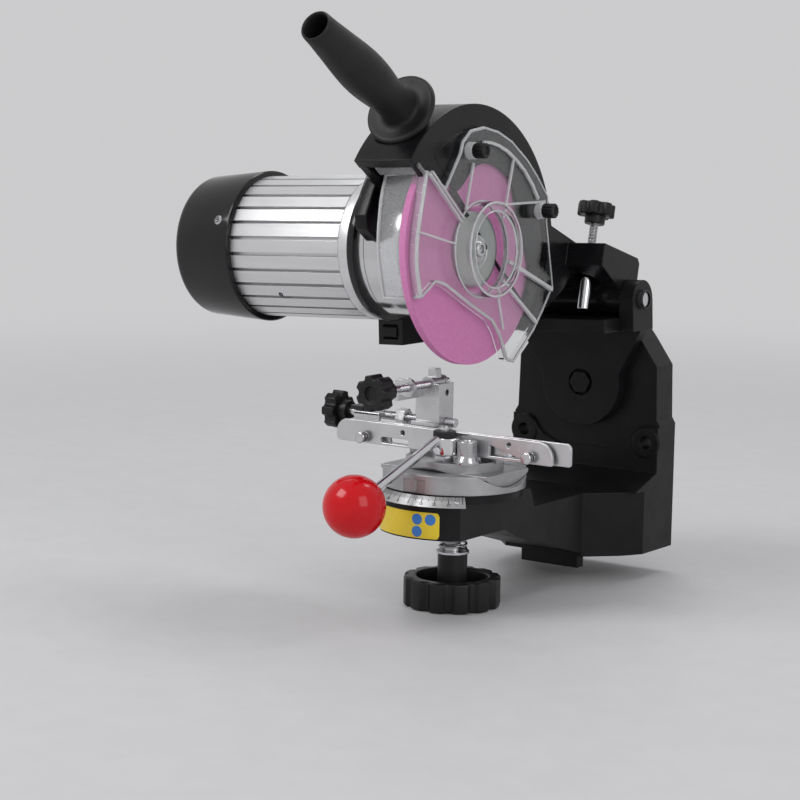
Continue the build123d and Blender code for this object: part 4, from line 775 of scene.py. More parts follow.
STOP_SCREW = (-174.5, 25.0)
screw_bar = threaded("stop bar", (-89.5, *STOP_SCREW), (-6.0, *STOP_SCREW), 3.0, 1.0, 18.0)
bar_collar = rounded_profile([(3.0, 0, 0), (5.0, 0, 0.3), (5.0, 3.7, 0.3), (3.0, 3.7, 0)])
collar_mesh = turned("bar collar", bar_collar, facing((-70.7, *STOP_SCREW), (1, 0, 0)), 36)
jam_nut = plate("jam nut", [hexagon(6.0, 10), circle(2.9, 24)], 7.0, 0.5,
                facing((-46.5, *STOP_SCREW), (1, 0, 0)))
piece(
    "chain_stop_bar", joined("stop screw", screw_bar, collar_mesh, jam_nut), bright_steel, "chain_stop_screw",
    ["chain_stop_screw"],
)
piece(
    "chain_stop_star", star_knob("stop star", (-104.0, *STOP_SCREW), (-89.0, *STOP_SCREW), 12.5), black_nylon,
    "chain_stop_screw", ["chain_stop_knob"],
)
PAWL = (-22.0, 49.6)
side_bar = threaded("side bar", (PAWL[0], -227.0, PAWL[1]), (PAWL[0], -161.5, PAWL[1]), 2.5, 0.8, 10.0)
piece("side_screw_bar", side_bar, bright_steel, "side_knob")
side_star = star_knob("side star", (PAWL[0], -246.0, PAWL[1]), (PAWL[0], -226.0, PAWL[1]), 11.5)
piece("side_screw_star", side_star, black_nylon, "side_knob", ["side_lock_knob"])

# ---------------------------------------------------------------- tilt bracket
# The bracket is the casting that swivels on the wall. Its round plate clamps the head's tilt and
# its two ears hold the hinge pin; the knob behind the wall locks it.
coat_node("tilt_bracket", black_enamel)
coat_node("swivel_bolt", black_enamel)
coat_node("hinge_pin", bright_steel)
coat_node("head_return_spring", spring_steel)
SWIVEL_Z = 38.0
lean = (Matrix.Translation((0, 0, SWIVEL_Z)) @ Matrix.Rotation(math.radians(-2.6), 4, "Y")
        @ Matrix.Translation((0, 0, -SWIVEL_Z)))


def leaned(x, y, z):
    """A point of the upright head, leaned over with the swivel."""
    return tuple(lean @ Vector((x, y, z)))


rear_star = star_knob("rear star", leaned(0, -3.7, SWIVEL_Z), leaned(0, -15.7, SWIVEL_Z), 17.0)
piece("swivel_star", rear_star, black_nylon, "swivel_knob", ["swivel_lock_knob"])
clips = []
for x in (-54.2, 54.2):
    ring = rounded_profile([(4.9, 0, 0), (6.6, 0, 0.2), (6.6, 0.9, 0.2), (4.9, 0.9, 0)])
    clips.append(turned("clip", ring, lean @ facing((x - 0.45, -35.5, 96.0), (1, 0, 0)), 36))
piece("hinge_pin_clips", joined("pin clips", *clips), dark_steel, "swivel")

# ---------------------------------------------------------------- wheel cover and arm
# The head is a second casting: a cover that wraps the back and top of the wheel, narrows to the
# motor's mounting face, and runs back as an arm to the hinge. Its enamel is glossier than the
# base. A leg runs down beside the motor's neck. A flat black sheet in the same enamel stands in
# front of the wheel's upper part as painted shade: it hides the part of the wheel that lies in the
# cover's shadow, and its edge follows the line where the lit part of the wheel ends.
gloss_enamel = finish(
    "gloss black enamel", (0.006, 0.006, 0.007), (0.010, 0.010, 0.011), (0.20, 0.32), (560.0, 0.00008),
    (0.0013, 0.3), rubbed=(0.03, 0.03, 0.031), specular=0.22, scratches=0.06,
)
coat_node("wheel_cover_casting", gloss_enamel)
spindle = lean @ Matrix.Translation((6.8, -176.9, 136.4))
SPINDLE_LAY = Matrix(((0, 0, 1, 0), (1, 0, 0, 0), (0, 1, 0, 0), (0, 0, 0, 1)))


def on_spindle(x):
    """A place on the spindle, whose local X and Y look back and up and whose local Z is the spindle."""
    return spindle @ Matrix.Translation((x, 0, 0)) @ SPINDLE_LAY


def along(points, steps=5):
    """A smooth line through points of any dimension."""
    spots = [Vector(p) for p in points]
    spots = [spots[0] * 2 - spots[1], *spots, spots[-1] * 2 - spots[-2]]
    line = []
    for a, b, c, d in zip(spots, spots[1:], spots[2:], spots[3:]):
        for k in range(steps):
            t = k / steps
            bend = (a * 2 - b * 5 + c * 4 - d) * t**2 + (b * 3 - a - c * 3 + d) * t**3
            line.append(tuple((b * 2 + (c - a) * t + bend) / 2))
    return [*line, tuple(spots[-2])]


# Painted shade: a black sheet over the wheel's upper rim, edged where the lit part of the wheel ends.
SHADE_SHEET_R = 74.5
SHADED_WHEEL_EDGE = [(-30.3, 37.9), (-21.5, 37.7), (-13.6, 43.0), (-4.3, 50.7), (7.1, 53.6), (20.9, 52.0),
            (33.6, 46.6), (41.6, 39.4), (46.1, 29.1), (49.4, 16.1), (56.2, -0.3), (60.8, -11.5),
            (59.2, -26.3), (51.6, -38.7)]
shade_sheet_rim = arc((0, 0), SHADE_SHEET_R, -37, 128, 60)
wheel_shade_sheet = plate("painted shade sheet", [along(SHADED_WHEEL_EDGE)[::-1] + shade_sheet_rim], 2.0, 0.4, on_spindle(5.2))
LEG_EDGE = [(-24.0, 62.0), (-33.5, 62.0), (-40.2, 53.8), (-51.4, 36.8), (-59.5, 23.6), (-58.0, 15.0),
            (-47.5, 7.0), (-43.5, 15.0), (-36.4, 31.9), (-34.0, 42.0), (-26.0, 50.0)]
cover_leg = plate("cover leg", [LEG_EDGE], 9.0, 0.8, on_spindle(-40.5))
piece("cover_leg_and_shade_sheet", joined("painted shade sheet", wheel_shade_sheet, cover_leg), gloss_enamel, "head")

# ---------------------------------------------------------------- handle
# The grip is blown from matt black plastic: a hollow, bulging tube with a round hand guard at its
# root. A threaded stud inside it screws into the cover.
soft_black = finish(
    "matt black grip", (0.010, 0.010, 0.011), (0.015, 0.015, 0.016), (0.42, 0.55), (1700.0, 0.00006),
    (0.0006, 0.2), rubbed=(0.03, 0.03, 0.03), specular=0.3, scratches=0.04,
)
HANDLE_AT = (-8.2, -176.9 - 47.0, 136.4 + 86.0)
HANDLE_RISE = math.radians(30)
handle_place = lean @ facing(HANDLE_AT, (0, -math.cos(HANDLE_RISE), math.sin(HANDLE_RISE)))
grip = [(0, 0.6), (4.2, 0.6), (4.4, 0), (21.6, 0), (22.8, 0.5), (23.4, 1.5), (23.5, 2.6), (23.1, 3.9),
        (22.0, 4.5), (20.5, 4.3)]
grip += [(17.5, 3.6), (14.0, 3.4), (12.6, 3.9), (12.0, 5.2), (11.6, 7.5), (11.3, 11.0), (11.35, 15.0),
         (11.8, 20.0)]
grip += [(12.5, 26.0), (13.3, 32.0), (13.95, 38.5), (14.3, 45.0), (14.25, 52.0), (13.8, 59.0), (13.1, 66.5),
         (12.3, 74.0)]
grip += [(11.5, 82.0), (10.8, 89.0), (10.3, 95.0), (10.15, 98.6), (9.9, 100.2), (9.3, 101.0), (8.6, 100.7),
         (8.2, 99.6)]
grip += [(8.0, 95.0), (7.8, 88.0), (7.6, 78.0), (0, 77.0)]
piece("handle_grip_moulded", turned("grip", grip, handle_place, 96, angle=50), soft_black, "head",
      ["handle_grip"])
coat_node("handle_stud", bright_steel)

# ---------------------------------------------------------------- motor
# The motor body is an aluminium extrusion with twenty-eight flat ribs and narrow grooves between
# them, plain at the end where it meets a black ring. Ahead of the ring stands the polished
# housing of the front bearing; a glossy black cap closes the back.
def ring_on_spindle(name, profile, steps=96, closed=False, angle=32.0, ease=3):
    """Revolve (radius, place along the spindle, rounding) corners about the spindle."""
    return turned(name, rounded_profile(profile, ease), on_spindle(0), steps, closed, angle)


MOTOR_R = 46.3
RIBS = 28
RIB_PHASE = 0.055
satin_extrusion = finish(
    "satin extruded aluminium", (0.74, 0.74, 0.75), (0.69, 0.69, 0.70), (0.34, 0.42), (500.0, 0.00002),
    (0.0003, 0.0), metallic=0.85, stretch=(0.03, 1, 1), scratches=0.02, mottle_scale=160.0,
)
section = []
for k in range(RIBS):
    middle = 2 * math.pi * k / RIBS + RIB_PHASE
    mouth = 1.15 / MOTOR_R
    floor = 1.75 / 43.6
    groove = [(-mouth, MOTOR_R), (-mouth, 45.3), (-floor, 44.6), (-floor, 43.5)]
    for offset, radius in groove + [(-offset, radius) for offset, radius in groove[::-1]]:
        turn = middle + offset
        section.append((radius * math.cos(turn), radius * math.sin(turn)))
ribbed = plate("ribbed body", [section, circle(42.0, 96)], 87.0, 0.25, on_spindle(-111.5), 25)
band = ring_on_spindle("plain band", [(42.0, -68.0, 0), (46.0, -68.0, 0.4), (46.0, -61.0, 0.5),
                                      (42.0, -61.0, 0)], closed=True)
piece("motor_ribbed_body", joined("motor body", ribbed, band), satin_extrusion, "head",
      ["motor_body"])

cross_screw_steel = finish(
    "screw steel", (0.60, 0.60, 0.61), (0.50, 0.50, 0.51), (0.14, 0.26), (1600.0, 0.00002), (0.0002, 0.0),
    metallic=1.0
)


def pan_screw(name, place, radius, rise):
    """A pan-head screw with a cross recess."""
    head = rounded_profile([(0, -1.0, 0), (radius, -1.0, 0), (radius, rise * 0.35, rise * 0.3),
                            (radius * 0.7, rise, radius * 0.3), (radius * 0.62, rise * 1.02, 0)])
    crown = turned("pan crown", head, place, 40, angle=40)
    arm, half = radius * 0.42, radius * 0.11
    cross = [(arm, -half), (arm, half), (half, half), (half, arm), (-half, arm), (-half, half), (-arm, half),
             (-arm, -half), (-half, -half), (-half, -arm), (half, -arm), (half, -half)]
    top = plate("pan top", [circle(radius * 0.64, 40), cross], rise * 0.7, 0.08,
                place @ Matrix.Translation((0, 0, rise * 0.68)))
    floor = plate("pan floor", [circle(radius * 0.5, 24)], 0.3, 0.05,
                  place @ Matrix.Translation((0, 0, rise * 0.25)))
    return joined(name, crown, top, floor)


def around_motor(x, degrees, radius):
    """A place on a cylinder about the spindle, looking outward."""
    turn = math.radians(degrees)
    out = Vector((0, math.cos(turn), math.sin(turn)))
    return spindle @ facing((x, radius * out.y, radius * out.z), out)


piece(
    "motor_body_screw", pan_screw("body screw", around_motor(-122.0, 219.2, 45.4), 2.3, 1.0), dark_steel,
    "head",
)
piece(
    "cap_side_screw", pan_screw("cap side screw", around_motor(-165.0, 157.0, 48.3), 3.3, 1.7),
    cross_screw_steel, "head",
)
mirror_black = finish(
    "gloss black cap", (0.008, 0.008, 0.009), (0.011, 0.011, 0.012), (0.07, 0.14), (380.0, 0.00002),
    (0.0014, 0.2), rubbed=(0.03, 0.03, 0.03), specular=0.4, scratches=0.04,
)
cap_line = [(40.0, -202.6, 0), (44.5, -202.6, 1.8), (46.4, -199.5, 1.5), (49.8, -155.6, 0.8),
            (47.0, -155.0, 0), (42.5, -155.0, 0), (42.5, -200.0, 0), (40.0, -200.0, 0)]
slits = []
for side in (-27.5, 27.5):
    for k in range(7):
        middle = 5.0 * k - 14.1
        slits.append([(side - 6.5, middle - 0.9), (side + 6.5, middle - 0.9), (side + 6.5, middle + 0.9),
                      (side - 6.5, middle + 0.9)])
cap_end = plate("cap end", [circle(40.2, 96), *slits], 2.6, 0.25, on_spindle(-201.3))
cap_shell = ring_on_spindle("cap shell", cap_line, 128, closed=True)
piece("motor_end_cap_turned", joined("end cap", cap_end, cap_shell), mirror_black, "head",
      ["motor_end_cap"])
heads = []
for degrees in (40.0, 140.0, 220.0, 320.0):
    turn = math.radians(degrees)
    place = spindle @ facing((-202.6, 34.0 * math.cos(turn), 34.0 * math.sin(turn)), (-1, 0, 0))
    heads.append(pan_screw("end screw", place, 3.2, 1.2))
piece("end_cap_pan_screws", joined("end screws", *heads), cross_screw_steel, "head",
      ["end_cap_screws"])

ring_line = [(38.0, -61.0, 0), (46.9, -61.0, 1.0), (47.2, -55.5, 1.0), (38.0, -55.5, 0)]
piece(
    "motor_ring_turned", ring_on_spindle("mount ring", ring_line, closed=True), mirror_black, "head",
    ["motor_mount_ring"],
)
polished = finish(
    "polished aluminium", (0.68, 0.68, 0.69), (0.62, 0.62, 0.63), (0.10, 0.20), (420.0, 0.00001),
    (0.0005, 0.0), metallic=0.95, stretch=(1, 0.1, 0.1), scratches=0.05,
)
nose = [(40.0, -55.5, 0), (43.6, -55.5, 0), (43.6, -50.0, 0.2), (44.0, -49.5, 0.2), (44.0, -22.5, 1.5),
        (42.0, -20.0, 1.5), (19.0, -20.0, 0.5), (14.0, -20.0, 0.5), (7.5, -20.0, 0.4), (7.5, -24.0, 0),
        (40.0, -24.0, 1.0)]
piece("motor_front_housing", ring_on_spindle("front housing", nose, closed=True), polished, "head",
      ["motor_nose"])

# Inside the motor stand the laminated stator with its windings, the rotor and its commutator on
# the shaft, the carbon brushes, the fan and the two bearings.
core_steel = finish("lamination steel", (0.20, 0.20, 0.21), (0.15, 0.15, 0.16), (0.4, 0.5), (900.0, 0.00004),
                    metallic=0.8, stretch=(12, 1, 1))
enamelled_copper = finish("enamelled copper", (0.42, 0.13, 0.035), (0.32, 0.09, 0.025), (0.25, 0.38),
                          (2600.0, 0.00015), metallic=0.8)
brush_carbon = finish("brush carbon", (0.02, 0.02, 0.02), (0.03, 0.03, 0.03), (0.55, 0.7), (1200.0, 0.00005))
coat_node("stator_core", core_steel)
coat_node("rotor_core", core_steel)
coat_node("stator_coils", enamelled_copper)
coat_node("commutator", enamelled_copper)
coat_node("carbon_brushes", brush_carbon)
coat_node("shaft_bearings", bright_steel)
coat_node("motor_shaft", bright_steel)
coat_node("cooling_fan", black_nylon)

# ---------------------------------------------------------------- grinding wheel
# The wheel is a thin disc of pink fused alumina, gritty on its faces and dressed on its rim. Two
# grey flanges clamp it and one screw holds them on the shaft.
def build_grit():
    """Abrasive grains in their bond: a fine relief and grains of slightly different colour."""
    tree, given, result = effect(
        "abrasive grit", [("Place", "Vector", None), ("Scale", "Float", 2600.0)],
        [("Height", "Float"), ("Grain", "Float")]
    )
    cells = shader(tree, "TexVoronoi", Vector=given["Place"], Scale=given["Scale"], Randomness=1.0)
    cloud = shader(tree, "TexNoise", Vector=given["Place"], Scale=300.0, Detail=8.0, Roughness=0.75)
    lift = shader(tree, "Math", {"operation": "SUBTRACT"}, _0=cloud.outputs["Fac"],
                  _1=cells.outputs["Distance"])
    tint = shader(tree, "SeparateColor", Color=cells.outputs["Color"])
    blend = shader(tree, "Math", {"operation": "MULTIPLY"}, _0=tint.outputs[0], _1=cloud.outputs["Fac"])
    tree.links.new(lift.outputs[0], result["Height"])
    tree.links.new(blend.outputs[0], result["Grain"])
    return tree


pink_grit = bpy.data.materials.new("pink fused alumina")
pink_grit.use_nodes = True
grit_tree = pink_grit.node_tree
grit_surface = grit_tree.nodes["Principled BSDF"]
grit_place = shader(grit_tree, "TexCoord").outputs["Object"]
grains = shader(grit_tree, "Group", {"node_tree": build_grit()}, Place=grit_place, Scale=2300.0)
grain_edges = shader(grit_tree, "Group", {"node_tree": ROUNDED_EDGES}, Place=grit_place, Radius=0.0005,
                     Rub=0.0)
grain_tone = shader(
    grit_tree, "Mix", {"data_type": "RGBA"}, _0=grains.outputs["Grain"], _6=(0.68, 0.21, 0.47, 1),
    _7=(0.86, 0.41, 0.69, 1)
)
grain_relief = shader(
    grit_tree, "Bump", Strength=0.8, Distance=0.0003, Height=grains.outputs["Height"],
    Normal=grain_edges.outputs["Normal"]
)
grit_tree.links.new(grain_tone.outputs[2], grit_surface.inputs["Base Color"])
grit_tree.links.new(grain_relief.outputs[0], grit_surface.inputs["Normal"])
grit_surface.inputs["Roughness"].default_value = 0.85
grit_surface.inputs["Specular IOR Level"].default_value = 0.3
coat_node("grinding_wheel", pink_grit)

flange_grey = finish(
    "grey flange metal", (0.46, 0.48, 0.46), (0.40, 0.42, 0.41), (0.30, 0.42), (1100.0, 0.00004),
    (0.0004, 0.1), metallic=0.7,
)
coat_node("inner_wheel_flange", flange_grey)
outer = [(6.0, 2.25, 0), (24.5, 2.25, 0.3), (24.5, 5.6, 0.9), (21.5, 6.45, 0.4), (12.5, 6.45, 0.4),
         (11.5, 5.7, 0.4), (6.0, 5.7, 0)]
piece(
    "outer_flange_turned", ring_on_spindle("outer flange", outer, closed=True), flange_grey, "spindle",
    ["outer_wheel_flange"],
)
screw_line = [(0, 4.0, 0), (9.0, 5.75, 0), (9.0, 7.4, 0.4), (5.0, 7.65, 0), (5.0, 10.3, 0.9),
              (2.7, 10.4, 0.2), (2.6, 8.0, 0), (0, 8.0, 0)]
piece(
    "spindle_screw_turned", ring_on_spindle("spindle screw", screw_line, 48), bright_steel, "spindle",
    ["spindle_screw"],
)

# ---------------------------------------------------------------- clear guard
# The guard is one moulding of clear polycarbonate: a face with stiffening ribs round a raised
# collar, a wall in front of the wheel, and two bosses for its studs. Its ribs, bosses and rounded
# edges are painted whitish as highlights, thin beads along its edges carry the same painted
# highlight, and the wall is whitened a little as a painted sheen of reflected light.
clear = bpy.data.materials.new("clear polycarbonate")
clear.use_nodes = True
clear_tree = clear.node_tree
clear_surface = clear_tree.nodes["Principled BSDF"]
clear_place = shader(clear_tree, "TexCoord").outputs["Object"]
clear_marks = shader(clear_tree, "Group", {"node_tree": HANDLED_MARKS}, Place=clear_place, Low=0.015,
                     High=0.06, Scratches=0.12)
clear_skin = shader(
    clear_tree, "Group", {"node_tree": SURFACE_GRAIN}, Place=clear_place, Stretch=(1, 1, 1), Scale=60.0,
    Mottle_Scale=30.0
)
clear_relief = shader(clear_tree, "Bump", Strength=0.5, Distance=0.0002, Height=clear_skin.outputs["Height"])
clear_tree.links.new(clear_marks.outputs[0], clear_surface.inputs["Roughness"])
clear_tree.links.new(clear_relief.outputs[0], clear_surface.inputs["Normal"])
clear_surface.inputs["Base Color"].default_value = (0.97, 0.98, 0.98, 1)
clear_surface.inputs["Transmission Weight"].default_value = 1.0
clear_surface.inputs["IOR"].default_value = 1.49
paths = shader(clear_tree, "LightPath")
unseen = shader(clear_tree, "Math", {"operation": "MAXIMUM"}, _0=paths.outputs["Is Shadow Ray"],
                _1=paths.outputs["Is Diffuse Ray"])
open_air = shader(clear_tree, "BsdfTransparent", Color=(0.93, 0.94, 0.94, 1))
through = shader(clear_tree, "MixShader", _0=unseen.outputs[0], _1=clear_surface.outputs[0],
                 _2=open_air.outputs[0])
clear_tree.links.new(through.outputs[0], clear_tree.nodes["Material Output"].inputs["Surface"])

GUARD_FACE = (8.0, 10.0)
WALL_STEPS = 8
WALL_BEND = 1.4
NUTS = ((-12.0, 61.5), (68.0, 21.3))
WALL_FRONT = [(-66.3, -25.3), (-69.9, -5.8), (-68.3, 12.2), (-62.3, 33.0), (-57.5, 49.7)]
WALL_BACK = [(-55.8, -27.5), (-59.4, -10.0), (-60.9, 8.4), (-56.9, 32.7), (-51.1, 47.8)]
front_edge = along(WALL_FRONT)
back_edge = along(WALL_BACK)
face_line = [(6.0, 75.5), (22.0, 72.5), (38.0, 66.0), (56.0, 54.0), (68.0, 43.0), (80.0, 30.0), (78.0, 14.0),
             (84.5, -28.5), (71.5, -43.5), (60.0, -55.5), (36.0, -73.5), (28.5, -71.5), (19.5, -54.1),
             (11.6, -45.3), (-12.0, -34.1), (-40.4, -19.2), (-51.0, -16.7)]
top_arc = [(-38.0, 39.0), (-21.0, 60.0), (-18.0, 67.0), (-9.0, 73.5)]
face_outline = face_line + front_edge + top_arc
bosses = [circle(2.7, 24, nut) for nut in NUTS]
guard_face = plate("guard face", [face_outline, circle(28.0, 96), *bosses], 2.0, 0.5,
                   on_spindle(sum(GUARD_FACE) / 2))
collar_line = [(28.0, 8.2, 0), (30.0, 9.0, 0), (30.0, 20.8, 0.6), (29.2, 21.5, 0.4), (23.8, 21.5, 0.4),
               (23.8, 19.7, 0.4), (28.0, 19.5, 0.8)]
guard_collar = ring_on_spindle("guard collar", collar_line, 96, closed=True)


def rib(start, stop, width, rise):
    """A stiffening rib that stands on the guard's face between two points."""
    a, b = Vector(start), Vector(stop)
    side = Vector((-(b - a).y, (b - a).x)).normalized() * width / 2
    loop = [tuple(a + side), tuple(a - side), tuple(b - side), tuple(b + side)]
    return plate("rib", [loop], rise, 0.35, on_spindle(GUARD_FACE[1] + rise / 2 - 0.05))


ribs = [
    rib((-58.0, 48.6), (-23.5, 17.2), 1.3, 2.4),
    rib((-55.5, 50.0), (-21.6, 19.6), 1.3, 2.4),
    rib((-9.0, 54.0), (-18.5, 25.0), 1.6, 1.6),
    rib((38.0, 57.0), (24.5, 19.0), 1.6, 1.6),
    rib((27.0, 27.0), (74.0, 27.0), 1.6, 1.8),
    rib((29.0, -9.5), (80.5, -30.5), 2.6, 2.6),
    rib((22.0, -21.5), (62.0, -51.0), 2.2, 2.0),
    rib((-30.5, 5.0), (-71.5, 14.5), 1.4, 1.4),
    rib((15.5, -26.5), (22.0, -52.0), 1.6, 1.6),
]
step_line = [(2.0, 66.5), (10.0, 66.2), (20.0, 64.0), (30.0, 60.3), (40.0, 54.7), (50.0, 47.5), (59.0, 38.5),
             (66.0, 29.0)]
for low, high in zip(step_line, step_line[1:]):
    ribs.append(rib(low, high, 2.0, 1.8))

wall_rows = []
for front, behind in zip(front_edge, back_edge):
    row = []
    for step in range(WALL_STEPS + 1):
        back = step / WALL_STEPS
        spot = Vector(front) * (1 - back**WALL_BEND) + Vector(behind) * back**WALL_BEND
        row.append((spot.x, spot.y, 8.3 - 34.0 * back))
    wall_rows.append(row)
guard_wall = bent_sheet("guard wall", wall_rows, 1.8, on_spindle(0))

# A low lip turns back from the face along its open side.
LIP_MIDDLE = Vector((0.0, -8.0))
lip_rows = []
for point in [(82.0, -26.5), *face_line[8:], front_edge[0]]:
    pulled = Vector(point) + (LIP_MIDDLE - Vector(point)).normalized() * 1.2
    lip_rows.append(((pulled.x, pulled.y, 4.0), (pulled.x, pulled.y, 8.2)))
guard_lip = bent_sheet("guard lip", lip_rows, 1.6, on_spindle(0))
roof_line = [(75.0, 138.6), (84.0, 138.6), (84.0, 140.2), (75.0, 140.2)]
roof_loop = [(r * math.cos(math.radians(a)), r * math.sin(math.radians(a))) for r, a in roof_line]
guard_roof = plate("guard roof", [roof_loop], 33.5, 0.3, on_spindle(-9.2))
towers = []
for y, z in NUTS:
    tower = [(2.7, 9.9, 0), (5.6, 9.9, 0), (5.2, 14.5, 0.5), (2.7, 14.5, 0)]
    towers.append(turned("boss", rounded_profile(tower), on_spindle(0) @ Matrix.Translation((y, z, 0)), 48,
                         closed=True))


def edge_bead(points, x, radius):
    """A rounded bead along an edge of the guard, at a place along the spindle, which carries a painted
    highlight.
    """
    return wire("bead", [(y, z, 0) for y, z in points], radius, on_spindle(x), sides=3)


# Beads laid along the guard's edges and collar to carry the painted highlight.
highlight_beads = [
    edge_bead(front_edge, 8.9, 1.2),
    edge_bead(back_edge, -25.7, 1.2),
    edge_bead(face_line[7:] + front_edge[:1], 9.0, 1.05),
    edge_bead(face_line[:8], 9.0, 0.9),
    edge_bead(front_edge[-1:] + top_arc + face_line[:1], 9.0, 1.05),
    wire("wall end", [(*front_edge[-1], 8.9), (*back_edge[-1], -25.7)], 1.1, on_spindle(0), sides=3),
    wire("wall foot", [(*front_edge[0], 8.9), (*back_edge[0], -25.7)], 1.1, on_spindle(0), sides=3),
    wire("collar rim", [(y, z, 0) for y, z in circle(29.3, 96)], 0.75, on_spindle(21.0), closed=True,
         sides=3),
    wire("collar lip", [(y, z, 0) for y, z in circle(24.0, 96)], 0.6, on_spindle(20.6), closed=True, sides=3),
    wire("collar root", [(y, z, 0) for y, z in circle(30.2, 96)], 0.7, on_spindle(10.2), closed=True,
         sides=3),
]
# Painted highlight: a whitish, half-clear finish on the ribs, beads and bosses stands in for the light their
# edges catch.
edge_highlight_paint = finish(
    "guard edge with painted highlight", (0.94, 0.95, 0.96), (0.90, 0.91, 0.92), (0.14, 0.26), (900.0, 0.00002),
    (0.0004, 0.0)
)
edge_highlight_paint.node_tree.nodes["Principled BSDF"].inputs["Transmission Weight"].default_value = 0.5
piece("guard_edges_and_ribs", joined("guard edges", *ribs, *highlight_beads, *towers), edge_highlight_paint, "head")
# Painted sheen: the wall and its roof are whitened and partly clouded, standing in for the whitish reflection
# on the guard's wall.
sheen_whitened = finish(
    "guard wall with painted sheen", (0.95, 0.96, 0.97), (0.90, 0.91, 0.92), (0.06, 0.14), (500.0, 0.00003), (0.0004, 0.0),
    scratches=0.2
)
sheen_whitened.node_tree.nodes["Principled BSDF"].inputs["Transmission Weight"].default_value = 0.82
piece("guard_wall_painted_sheen", joined("guard wall", guard_wall, guard_roof), sheen_whitened, "head")
piece(
    "clear_guard_moulding", joined("clear guard", guard_face, guard_collar, guard_lip), clear, "head",
    ["clear_guard"],
)
coat_node("guard_studs", bright_steel)
nuts = []
for y, z in NUTS:
    grip_edge = []
    for k in range(120):
        turn = 2 * math.pi * k / 120
        radius = 4.8 - (0.4 if k % 10 in (0, 1, 2) else 0.0)
        grip_edge.append((radius * math.cos(turn), radius * math.sin(turn)))
    at = on_spindle(0) @ Matrix.Translation((y, z, 0))
    nuts.append(plate("thumb nut", [grip_edge, circle(2.8, 32)], 8.0, 0.6,
                      at @ Matrix.Translation((0, 0, 18.5)), 40))
    cap_line = rounded_profile([(0, 21.4, 0), (2.9, 21.4, 0), (2.9, 20.9, 0), (0, 20.9, 0)])
    nuts.append(turned("nut floor", cap_line, at, 32))
piece("guard_thumb_nuts_moulded", joined("thumb nuts", *nuts), black_nylon, "head",
      ["guard_thumb_nuts"])

# ---------------------------------------------------------------- switch box
# A small moulded box of black nylon under the motor holds the rocker switch, which snaps into
# it, and the rubber gland for the mains cord.
coat_node("switch_box", black_nylon)
coat_node("switch_rocker", black_nylon)
gland_rubber = finish("gland rubber", (0.015, 0.015, 0.015), (0.022, 0.022, 0.022), (0.55, 0.7),
                      (1400.0, 0.00004), (0.0004, 0.0))
coat_node("cord_gland", gland_rubber)

# ---------------------------------------------------------------- depth stop
# A screw with a star knob sets how low the wheel comes. Its polished foot passes through the arm
# and lands on the bracket's ledge.
HINGE = (-35.5, 96.0)
ARM = math.atan2(136.4 - HINGE[1], HINGE[0] + 176.9)


def along_arm(u, v, x):
    """A point forward along the arm (u) and square to it (v), leaned with the head."""
    forward = (-math.cos(ARM), math.sin(ARM))
    square = (math.sin(ARM), math.cos(ARM))
    return leaned(x, HINGE[0] + u * forward[0] + v * square[0], HINGE[1] + u * forward[1] + v * square[1])


STOP = (22.0, 20.0)
stop_bar = threaded("depth bar", along_arm(STOP[0], -5.0, STOP[1]), along_arm(STOP[0], 49.0, STOP[1]), 3.0,
                    1.0)
piece("depth_screw_bar", stop_bar, bright_steel, "depth_screw", ["depth_stop_screw"])
star = star_knob("depth star", along_arm(STOP[0], 60.0, STOP[1]), along_arm(STOP[0], 46.0, STOP[1]), 12.5)
piece("depth_stop_star", star, black_nylon, "depth_screw", ["depth_stop_knob"])
foot_low, foot_high = Vector(along_arm(STOP[0], -12.5, STOP[1])), Vector(along_arm(STOP[0], 10.5, STOP[1]))
foot_line = rounded_profile([(0, 0, 0), (4.2, 0, 0.8), (4.2, 23.0, 0.5), (3.05, 23.0, 0.2), (3.05, 7.0, 0),
                             (0, 7.0, 0)])
piece(
    "depth_foot_turned", turned("depth foot", foot_line, facing(foot_low, foot_high - foot_low), 40), chromed,
    "depth_foot", ["depth_stop_foot"],
)

# ---------------------------------------------------------------- floor, light and camera
# A plain pale floor, three soft lamps and a pale room. Away from the machine the floor fades
# into the room's own tone, so no horizon shows.
floor_mesh = bpy.data.meshes.new("floor")
FLOOR_Z = -0.0903
REACH = 60
floor_mesh.from_pydata([(x * REACH, y * REACH, FLOOR_Z) for x, y in ((-1, -1), (1, -1), (1, 1), (-1, 1))], [],
                       [(0, 1, 2, 3)])
floor = bpy.data.objects.new("floor", floor_mesh)
bpy.context.scene.collection.objects.link(floor)
ROOM_TONE = (0.60, 0.60, 0.61, 1)
floor_paint = finish("pale floor", (0.62, 0.62, 0.63), (0.60, 0.60, 0.61), (0.5, 0.6), (300.0, 0.00002),
                     scratches=0.0)
floor_tree = floor_paint.node_tree
away = shader(floor_tree, "VectorMath", {"operation": "LENGTH"},
              _0=floor_tree.nodes["Texture Coordinate"].outputs["Object"])
haze = shader(floor_tree, "MapRange", {"interpolation_type": "SMOOTHSTEP"}, Value=away.outputs["Value"],
              _1=0.35, _2=1.7)
air = shader(floor_tree, "Emission", Color=ROOM_TONE, Strength=1.0)
faded = shader(
    floor_tree, "MixShader", _0=haze.outputs[0], _1=floor_tree.nodes["Principled BSDF"].outputs[0],
    _2=air.outputs[0]
)
floor_tree.links.new(faded.outputs[0], floor_tree.nodes["Material Output"].inputs["Surface"])
floor_mesh.materials.append(floor_paint)

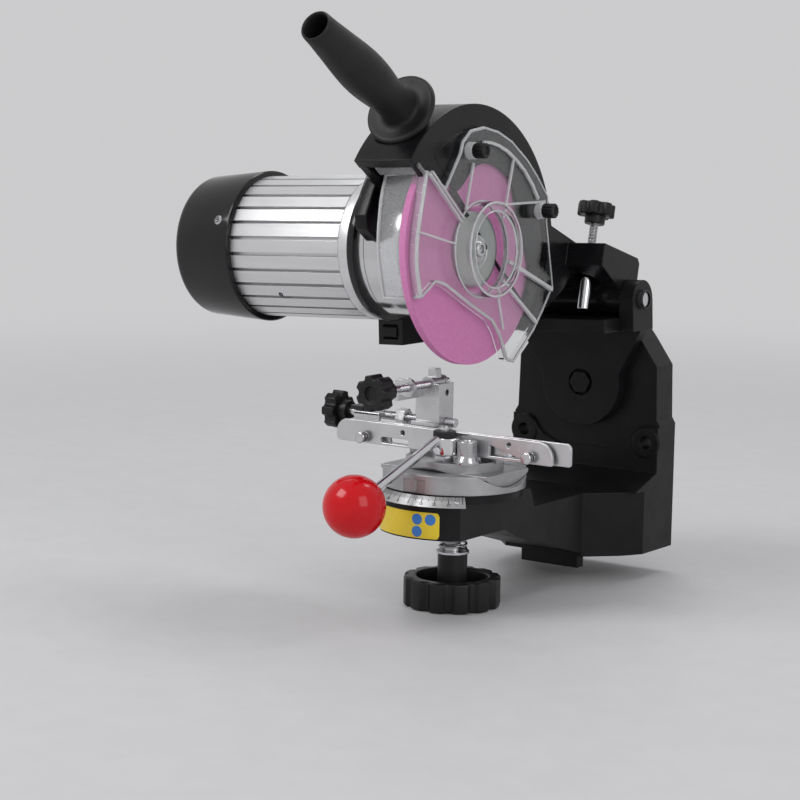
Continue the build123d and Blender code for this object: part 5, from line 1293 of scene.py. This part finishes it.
scene = bpy.context.scene
world = bpy.data.worlds.new("pale room")
scene.world = world
world.use_nodes = True
sky = world.node_tree
sky.nodes.clear()
seen = shader(sky, "LightPath")
clear_view = shader(sky, "Math", {"operation": "MAXIMUM"}, _0=seen.outputs["Is Camera Ray"],
                    _1=seen.outputs["Is Transmission Ray"])
mirrored = shader(sky, "Math", {"operation": "MAXIMUM"}, _0=clear_view.outputs[0],
                  _1=seen.outputs["Is Glossy Ray"])
room = shader(sky, "Background", Color=(0.42, 0.42, 0.43, 1), Strength=1.0)
shown = shader(sky, "Background", Color=ROOM_TONE, Strength=1.0)
both = shader(sky, "MixShader", _0=mirrored.outputs[0], _1=room.outputs[0], _2=shown.outputs[0])
sky_out = sky.nodes.new("ShaderNodeOutputWorld")
sky.links.new(both.outputs[0], sky_out.inputs["Surface"])


def softbox(name, at, aim, size, watts):
    """A rectangular softbox lamp."""
    lamp = bpy.data.lights.new(name, "AREA")
    lamp.shape = "RECTANGLE"
    lamp.size, lamp.size_y = size
    lamp.energy = watts
    holder = bpy.data.objects.new(name, lamp)
    holder.location = at
    holder.rotation_euler = (Vector(aim) - Vector(at)).to_track_quat("-Z", "Y").to_euler()
    scene.collection.objects.link(holder)


MIDDLE = (-0.03, -0.13, 0.08)
softbox("key softbox", (-0.75, -1.25, 1.25), MIDDLE, (0.9, 0.7), 13.0)
softbox("fill softbox", (1.35, -0.7, 0.7), MIDDLE, (0.8, 1.0), 5.0)
softbox("top strip", (-0.1, 0.55, 1.3), MIDDLE, (1.2, 0.4), 6.0)

lens = bpy.data.cameras.new("view")
lens.lens = 107.5
lens.sensor_width = 36.0
lens.clip_end = 50.0
view = bpy.data.objects.new("view", lens)
right, up, back = (0.81786, 0.57515, 0.01774), (-0.09472, 0.10416, 0.99004), (0.56757, -0.81139, 0.13967)
stand = (0.82688, -1.42764, 0.25145)
view.matrix_world = Matrix([(right[k], up[k], back[k], stand[k]) for k in range(3)] + [(0, 0, 0, 1)])
scene.collection.objects.link(view)
scene.camera = view
scene.view_settings.view_transform = "Standard"
